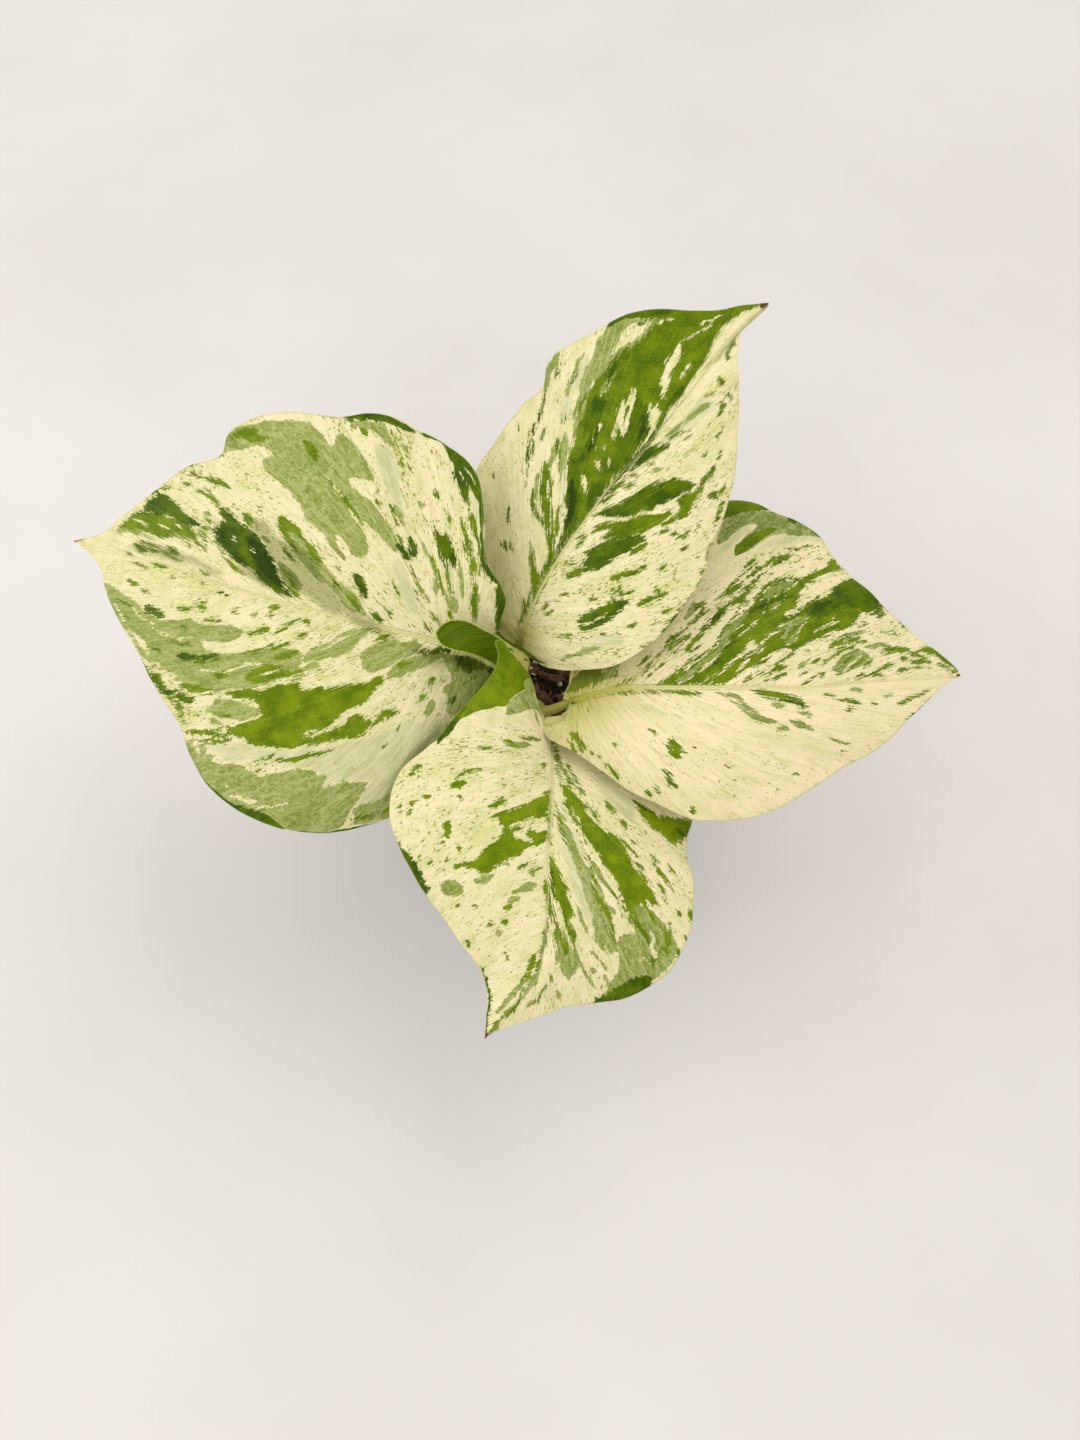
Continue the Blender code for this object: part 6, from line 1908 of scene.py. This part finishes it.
def build_sheath(mat):
    """A dry, split sheath that stands against the stem's top."""
    rows, cols = 60, 16
    line = smooth_path(seen_point([(534, 694, 98), (531, 686, 103), (528, 678, 108), (526, 670, 113), (526, 663, 116)]), np.linspace(0, 1, rows))
    t = np.linspace(0, 1, rows)
    half = 0.95 * np.sin(math.pi * np.clip(0.20 + 0.80 * t, 0, 1)) ** 0.8 + 0.04
    w = np.linspace(-1, 1, cols)
    side = np.array([0.85, 0.45, 0.15])
    side /= np.linalg.norm(side)
    back = np.array([-0.3, 0.5, -0.5])
    grid = line[:, None] + side * (half[:, None] * w[None, :])[..., None] + back * ((w[None, :] ** 2) * half[:, None] * 0.6)[..., None]
    x = np.tile(t[:, None] * 9, (1, cols))
    y = np.tile(w[None, :] * 2, (rows, 1))
    grid = grid + back * (0.18 * value_noise(x, y, 8))[..., None]
    normal = grid_normals(grid)
    upper, lower, wall = shell_faces(rows, cols)
    verts = np.concatenate([(grid + normal * 0.08).reshape(-1, 3), (grid - normal * 0.08).reshape(-1, 3)])
    obj = mesh_object("dry_sheath", verts, np.concatenate([upper, lower, wall]), mat)
    across = half[:, None] * w[None, :]
    run = np.tile((t * 16)[:, None], (1, cols))
    set_values(obj.data, "along", np.tile(np.stack([across, run, np.zeros_like(run)], 2).reshape(-1, 3), (2, 1)))
    return obj


# ------------------------------------------------------------------------------------------------ potting mix
def wall_inside(z):
    """Radius of the pot wall's inner face at height z."""
    t = (z - 4.8) / (72.2 - 4.8)
    return 33.5 + (45.1 - 33.5) * t


def mix_height(x, y):
    r = np.hypot(x + 8, y - 2)
    base = MIX_TOP - 0.5 + MIX_SWELL * np.exp(-((r / 17) ** 2))
    return (
        base
        + 0.75 * value_noise(x / 7 + 3, y / 7, 21)
        + 0.45 * value_noise(x / 2.6, y / 2.6 + 9, 22)
        + 0.20 * value_noise(x / 1.0, y / 1.0, 23)
    )


def build_mix(mat):
    rings, sides = 88, 200
    radius = wall_inside(72.2) - 0.1
    r = radius * np.linspace(0.004, 1, rings) ** 0.9
    a = np.linspace(0, 2 * math.pi, sides, endpoint=False)
    x, y = r[:, None] * np.cos(a), r[:, None] * np.sin(a)
    z = mix_height(x, y)
    z[-1] = z[-1] * 0.5 + (MIX_TOP - 0.8) * 0.5
    top = np.stack([x, y, z], 2)
    low = []
    for zz in (72.0, 60.0, 40.0, 20.0, 7.5, 5.4):
        rr = (wall_inside(max(zz, 6.8)) - 0.2) if zz > 6 else 30.8
        low.append(np.stack([rr * np.cos(a), rr * np.sin(a), np.full(sides, zz)], 1))
    low.append(np.stack([0.2 * np.cos(a), 0.2 * np.sin(a), np.full(sides, 5.4)], 1))
    verts = np.concatenate([top.reshape(-1, 3), np.concatenate(low)])
    faces = []
    for i in range(rings + len(low) - 1):
        for k in range(sides):
            m = (k + 1) % sides
            faces.append((i * sides + k, (i + 1) * sides + k, (i + 1) * sides + m, i * sides + m))
    faces.append(tuple(reversed(range(sides))))
    faces.append(tuple((rings + len(low) - 1) * sides + k for k in range(sides)))
    obj = mesh_object("mix_bed", verts, faces, mat)
    bm = bmesh.new()
    bm.from_mesh(obj.data)
    bmesh.ops.recalc_face_normals(bm, faces=bm.faces)
    bm.to_mesh(obj.data)
    bm.free()
    return obj


def chip_shapes():
    """Corner points and faces of one rounded chip, to be bent and stretched."""
    bm = bmesh.new()
    bmesh.ops.create_cube(bm, size=2.0)
    bmesh.ops.subdivide_edges(bm, edges=bm.edges[:], cuts=2, use_grid_fill=True)
    verts = np.array([v.co[:] for v in bm.verts])
    faces = [[v.index for v in f.verts] for f in bm.faces]
    bm.free()
    return verts, faces


def ball_shape(level):
    bm = bmesh.new()
    bmesh.ops.create_icosphere(bm, subdivisions=level, radius=1.0)
    verts = np.array([v.co[:] for v in bm.verts])
    faces = [[v.index for v in f.verts] for f in bm.faces]
    bm.free()
    return verts, faces


def random_turn(rng, tilt):
    """A rotation about Z with a lean of up to about tilt radians."""
    a, b, c = rng.uniform(0, 2 * math.pi), rng.normal(0, tilt), rng.normal(0, tilt)
    ca, sa, cb, sb, cc, sc = math.cos(a), math.sin(a), math.cos(b), math.sin(b), math.cos(c), math.sin(c)
    z = np.array([[ca, -sa, 0], [sa, ca, 0], [0, 0, 1]])
    x = np.array([[1, 0, 0], [0, cb, -sb], [0, sb, cb]])
    y = np.array([[cc, 0, sc], [0, 1, 0], [-sc, 0, cc]])
    return z @ x @ y


def lumps(p, rng, size):
    """Uneven knocks on a body's points."""
    q = p * size + rng.uniform(0, 40, 3)
    return np.array([noise.noise(Vector(v)) for v in q.tolist()])


def scattered(count, rng, reach, clear=4.2):
    """Places on the mix, away from the stem."""
    out = []
    while len(out) < count:
        a, r = rng.uniform(0, 2 * math.pi), reach * math.sqrt(rng.uniform())
        x, y = r * math.cos(a), r * math.sin(a)
        if math.hypot(x + 8.3, y - 1.5) > clear:
            out.append((x, y))
    return out


def build_litter(kind, shape, places, rng, mat, size_of, tilt, rough, sink):
    """Many small bodies on the mix as one piece."""
    base, base_faces = shape
    verts, faces, along, tone = [], [], [], []
    for k, (x, y) in enumerate(places):
        size = np.array(size_of(rng))
        q = base.copy()
        q /= np.maximum(np.linalg.norm(q, axis=1), 1.0)[:, None] ** 0.55
        q = q * (1 + rough * lumps(base, rng, 0.9))[:, None]
        q[:, 0] += 0.25 * rng.normal() * q[:, 1] ** 2
        turn = random_turn(rng, tilt)
        w = (q * size) @ turn.T
        z = float(mix_height(np.array(x), np.array(y)))
        lift = min(w[:, 2].max(), size[2] * 1.6) * sink
        reach = np.hypot(x + w[:, 0], y + w[:, 1]).max()
        if reach > 44.4:
            w[:, :2] -= np.array([x, y]) / math.hypot(x, y) * (reach - 44.4)
        first = sum(len(v) for v in verts)
        verts.append(w + (x, y, z + lift))
        faces += [[i + first for i in f] for f in base_faces]
        along.append(q * size + (0, 0, k * 3.7))
        tone.append(np.full(len(base), rng.uniform()))
    obj = mesh_object(kind, np.concatenate(verts), faces, mat)
    set_values(obj.data, "along", np.concatenate(along))
    set_values(obj.data, "tone", np.concatenate(tone))
    return obj


# ------------------------------------------------------------------------------------------------ pot
def rounded(profile, r):
    """A profile with its corners turned into short curves."""
    q = [np.array(v, float) for v in profile]
    out = [q[0]]
    for a, b, c in zip(q, q[1:], q[2:]):
        la, lc = np.linalg.norm(a - b), np.linalg.norm(c - b)
        d = min(r, la * 0.42, lc * 0.42)
        s, e = b + (a - b) / la * d, b + (c - b) / lc * d
        for t in (0.0, 0.25, 0.5, 0.75, 1.0):
            out.append((1 - t) ** 2 * s + 2 * t * (1 - t) * b + t * t * e)
    out.append(q[-1])
    return out


def build_pot(mat):
    profile = [
        (0.3, 0), (11, 0), (12.2, 1.2), (13, 1.6), (27.5, 1.6), (28.4, 1.2), (29.6, 0), (33.6, 0), (35, 1.2), (36.9, 13.0), (37.05, 13.0), (46.6, 72.8),
        (48.6, 74), (48.9, 76.6), (49.25, 76.8), (49.3, 77.6), (49.05, 77.9), (49.6, 84.8), (50.8, 85.2), (51, 86.1), (50.9, 87.2), (50.2, 87.9),
        (49.2, 88), (48.3, 87.6), (47.9, 86.6), (46.8, 74.6), (45.1, 72.2), (33.5, 4.8), (31.4, 3.0), (28.6, 3.0), (27.6, 3.5), (13, 3.5), (12, 3.0), (0.3, 3.0),
    ]
    line = rounded(profile, 0.55)
    sides = 192
    a = np.linspace(0, 2 * math.pi, sides, endpoint=False)
    rz = np.array(line)
    verts = np.stack([rz[:, :1] * np.cos(a), rz[:, :1] * np.sin(a), np.repeat(rz[:, 1:], sides, axis=1)], 2).reshape(-1, 3)
    faces = []
    for i in range(len(line) - 1):
        for k in range(sides):
            m = (k + 1) % sides
            faces.append((i * sides + k, i * sides + m, (i + 1) * sides + m, (i + 1) * sides + k))
    faces.append(tuple(reversed(range(sides))))
    faces.append(tuple((len(line) - 1) * sides + k for k in range(sides)))
    plain = mesh_object("pot_plain", verts, faces, mat)
    bm = bmesh.new()
    bm.from_mesh(plain.data)
    bmesh.ops.recalc_face_normals(bm, faces=bm.faces)
    bm.to_mesh(plain.data)
    bm.free()
    cutters = []
    for k in range(6):
        turn = math.radians(60 * (k + 0.5)) + 0.037
        bm = bmesh.new()
        bmesh.ops.create_cone(bm, cap_ends=True, segments=40, radius1=3.2 * MM, radius2=3.2 * MM, depth=12 * MM)
        mesh = bpy.data.meshes.new("hole")
        bm.to_mesh(mesh)
        bm.free()
        hole = link(bpy.data.objects.new("hole", mesh))
        hole.location = (20 * MM * math.cos(turn), 20 * MM * math.sin(turn), 2.4 * MM)
        cutters.append(hole)
        modifier = plain.modifiers.new("hole", "BOOLEAN")
        modifier.operation, modifier.solver, modifier.object = "DIFFERENCE", "EXACT", hole
    bpy.context.view_layer.update()
    done = bpy.data.meshes.new_from_object(plain.evaluated_get(bpy.context.evaluated_depsgraph_get()))
    done.name = "pot_shell"
    obj = link(bpy.data.objects.new("pot_shell", done))
    for old in cutters + [plain]:
        bpy.data.objects.remove(old)
    obj.data.shade_smooth()
    obj.data.set_sharp_from_angle(angle=math.radians(38))
    co = np.empty(len(done.vertices) * 3)
    done.vertices.foreach_get("co", co)
    co = co.reshape(-1, 3) * 1000
    r, z = np.hypot(co[:, 0], co[:, 1]), co[:, 2]
    worn = np.maximum(np.exp(-(((z - 87.6) / 0.7) ** 2)), np.exp(-(((r - 48.7) / 0.5) ** 2) - ((z - 74.3) / 0.8) ** 2))
    worn = np.maximum(worn, np.exp(-(((r - 34.6) / 0.9) ** 2) - ((z - 0.5) / 0.9) ** 2))
    worn = np.maximum(worn, np.exp(-(((r - 50.9) / 0.35) ** 2) - ((z - 86.2) / 1.0) ** 2))
    set_values(done, "height", z)
    set_values(done, "worn", worn)
    return obj


# ------------------------------------------------------------------------------------------------ everything
def place(obj, slot, *nodes):
    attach(obj, "root")
    if nodes:
        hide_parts(*nodes)
    return obj


leaf_mat = leaf_material()
for leaf_name in LEAVES:
    place(build_leaf(leaf_name, leaf_mat), "leaf", leaf_name)
place(build_young(plain_leaf_material()), "young_leaf", "young_leaf")
for stalk_obj, node_name in build_stalks():
    place(stalk_obj, "stem", node_name)
place(build_sheath(sheath_material()), "stem")

place(build_mix(mix_material()), "potting_mix", "potting_mix")
rng = np.random.default_rng(77)
bark = bark_material()
place(
    build_litter(
        "mix_chips", chip_shapes(), scattered(430, rng, 42.5, 5.2), rng, bark,
        lambda g: (g.uniform(1.3, 4.0), g.uniform(0.8, 2.0), g.uniform(0.45, 1.0)), 0.30, 0.35, 0.35,
    ),
    "potting_mix",
)
place(
    build_litter(
        "mix_crumbs", ball_shape(2), scattered(650, rng, 43.2), rng, bark,
        lambda g: tuple(g.uniform(0.35, 0.95) * k for k in (1.3, 0.9, 0.7)), 0.8, 0.5, 0.30,
    ),
    "potting_mix",
)
white = [tuple(seen_point((552, 678, 78.3))[:2]), tuple(seen_point((530, 667, 78.3))[:2]), tuple(seen_point((560, 684, 78.3))[:2])]
place(
    build_litter(
        "mix_perlite", ball_shape(3), white + scattered(85, rng, 42.5), rng, perlite_material(),
        lambda g: tuple(g.uniform(0.5, 1.45) * k for k in (1.0, 0.85, 0.75)), 0.8, 0.30, 0.55,
    ),
    "potting_mix",
)
place(build_pot(pot_material()), "pot_plastic", "pot")

# ------------------------------------------------------------------------------------------------ floor, lights, camera
floor_mesh = bpy.data.meshes.new("floor")
floor_mesh.from_pydata([(-3, -3, 0), (3, -3, 0), (3, 3, 0), (-3, 3, 0)], [], [(0, 1, 2, 3)])
floor_mesh.materials.append(floor_material())
floor = link(bpy.data.objects.new("floor", floor_mesh))


def area_light(name, place_at, target, size, power, colour):
    data = bpy.data.lights.new(name, "AREA")
    data.shape, data.size, data.energy, data.color = "DISK", size, power, colour
    obj = link(bpy.data.objects.new(name, data))
    obj.location = place_at
    obj.rotation_euler = (Vector(target) - Vector(place_at)).to_track_quat("-Z", "Y").to_euler()
    return obj


area_light("key", (0.42, 0.30, 0.95), (0.0, -0.02, 0.12), 0.90, 2.80, (1.0, 0.975, 0.94))
area_light("fill", (-0.35, -0.85, 0.60), (0.0, -0.02, 0.12), 0.9, 2.25, (1.0, 0.98, 0.96))
area_light("side", (-0.90, 0.15, 0.55), (0.0, -0.02, 0.12), 0.9, 3.2, (0.98, 0.985, 1.0))

world = bpy.data.worlds.new("studio")
world.use_nodes = True
world.node_tree.nodes["Background"].inputs["Color"].default_value = (1.0, 0.985, 0.965, 1.0)
world.node_tree.nodes["Background"].inputs["Strength"].default_value = 0.80
bpy.context.scene.world = world
bpy.context.scene.view_settings.view_transform = "Standard"

camera_data = bpy.data.cameras.new("camera")
camera_data.sensor_fit, camera_data.sensor_width, camera_data.lens, camera_data.clip_start = "AUTO", 36.0, 26.975, 0.01
camera = link(bpy.data.objects.new("camera", camera_data))
camera.location = (-0.002, -0.150, 0.364)
camera.rotation_euler = (math.radians(27.0), 0.0, 0.0)
bpy.context.scene.camera = camera
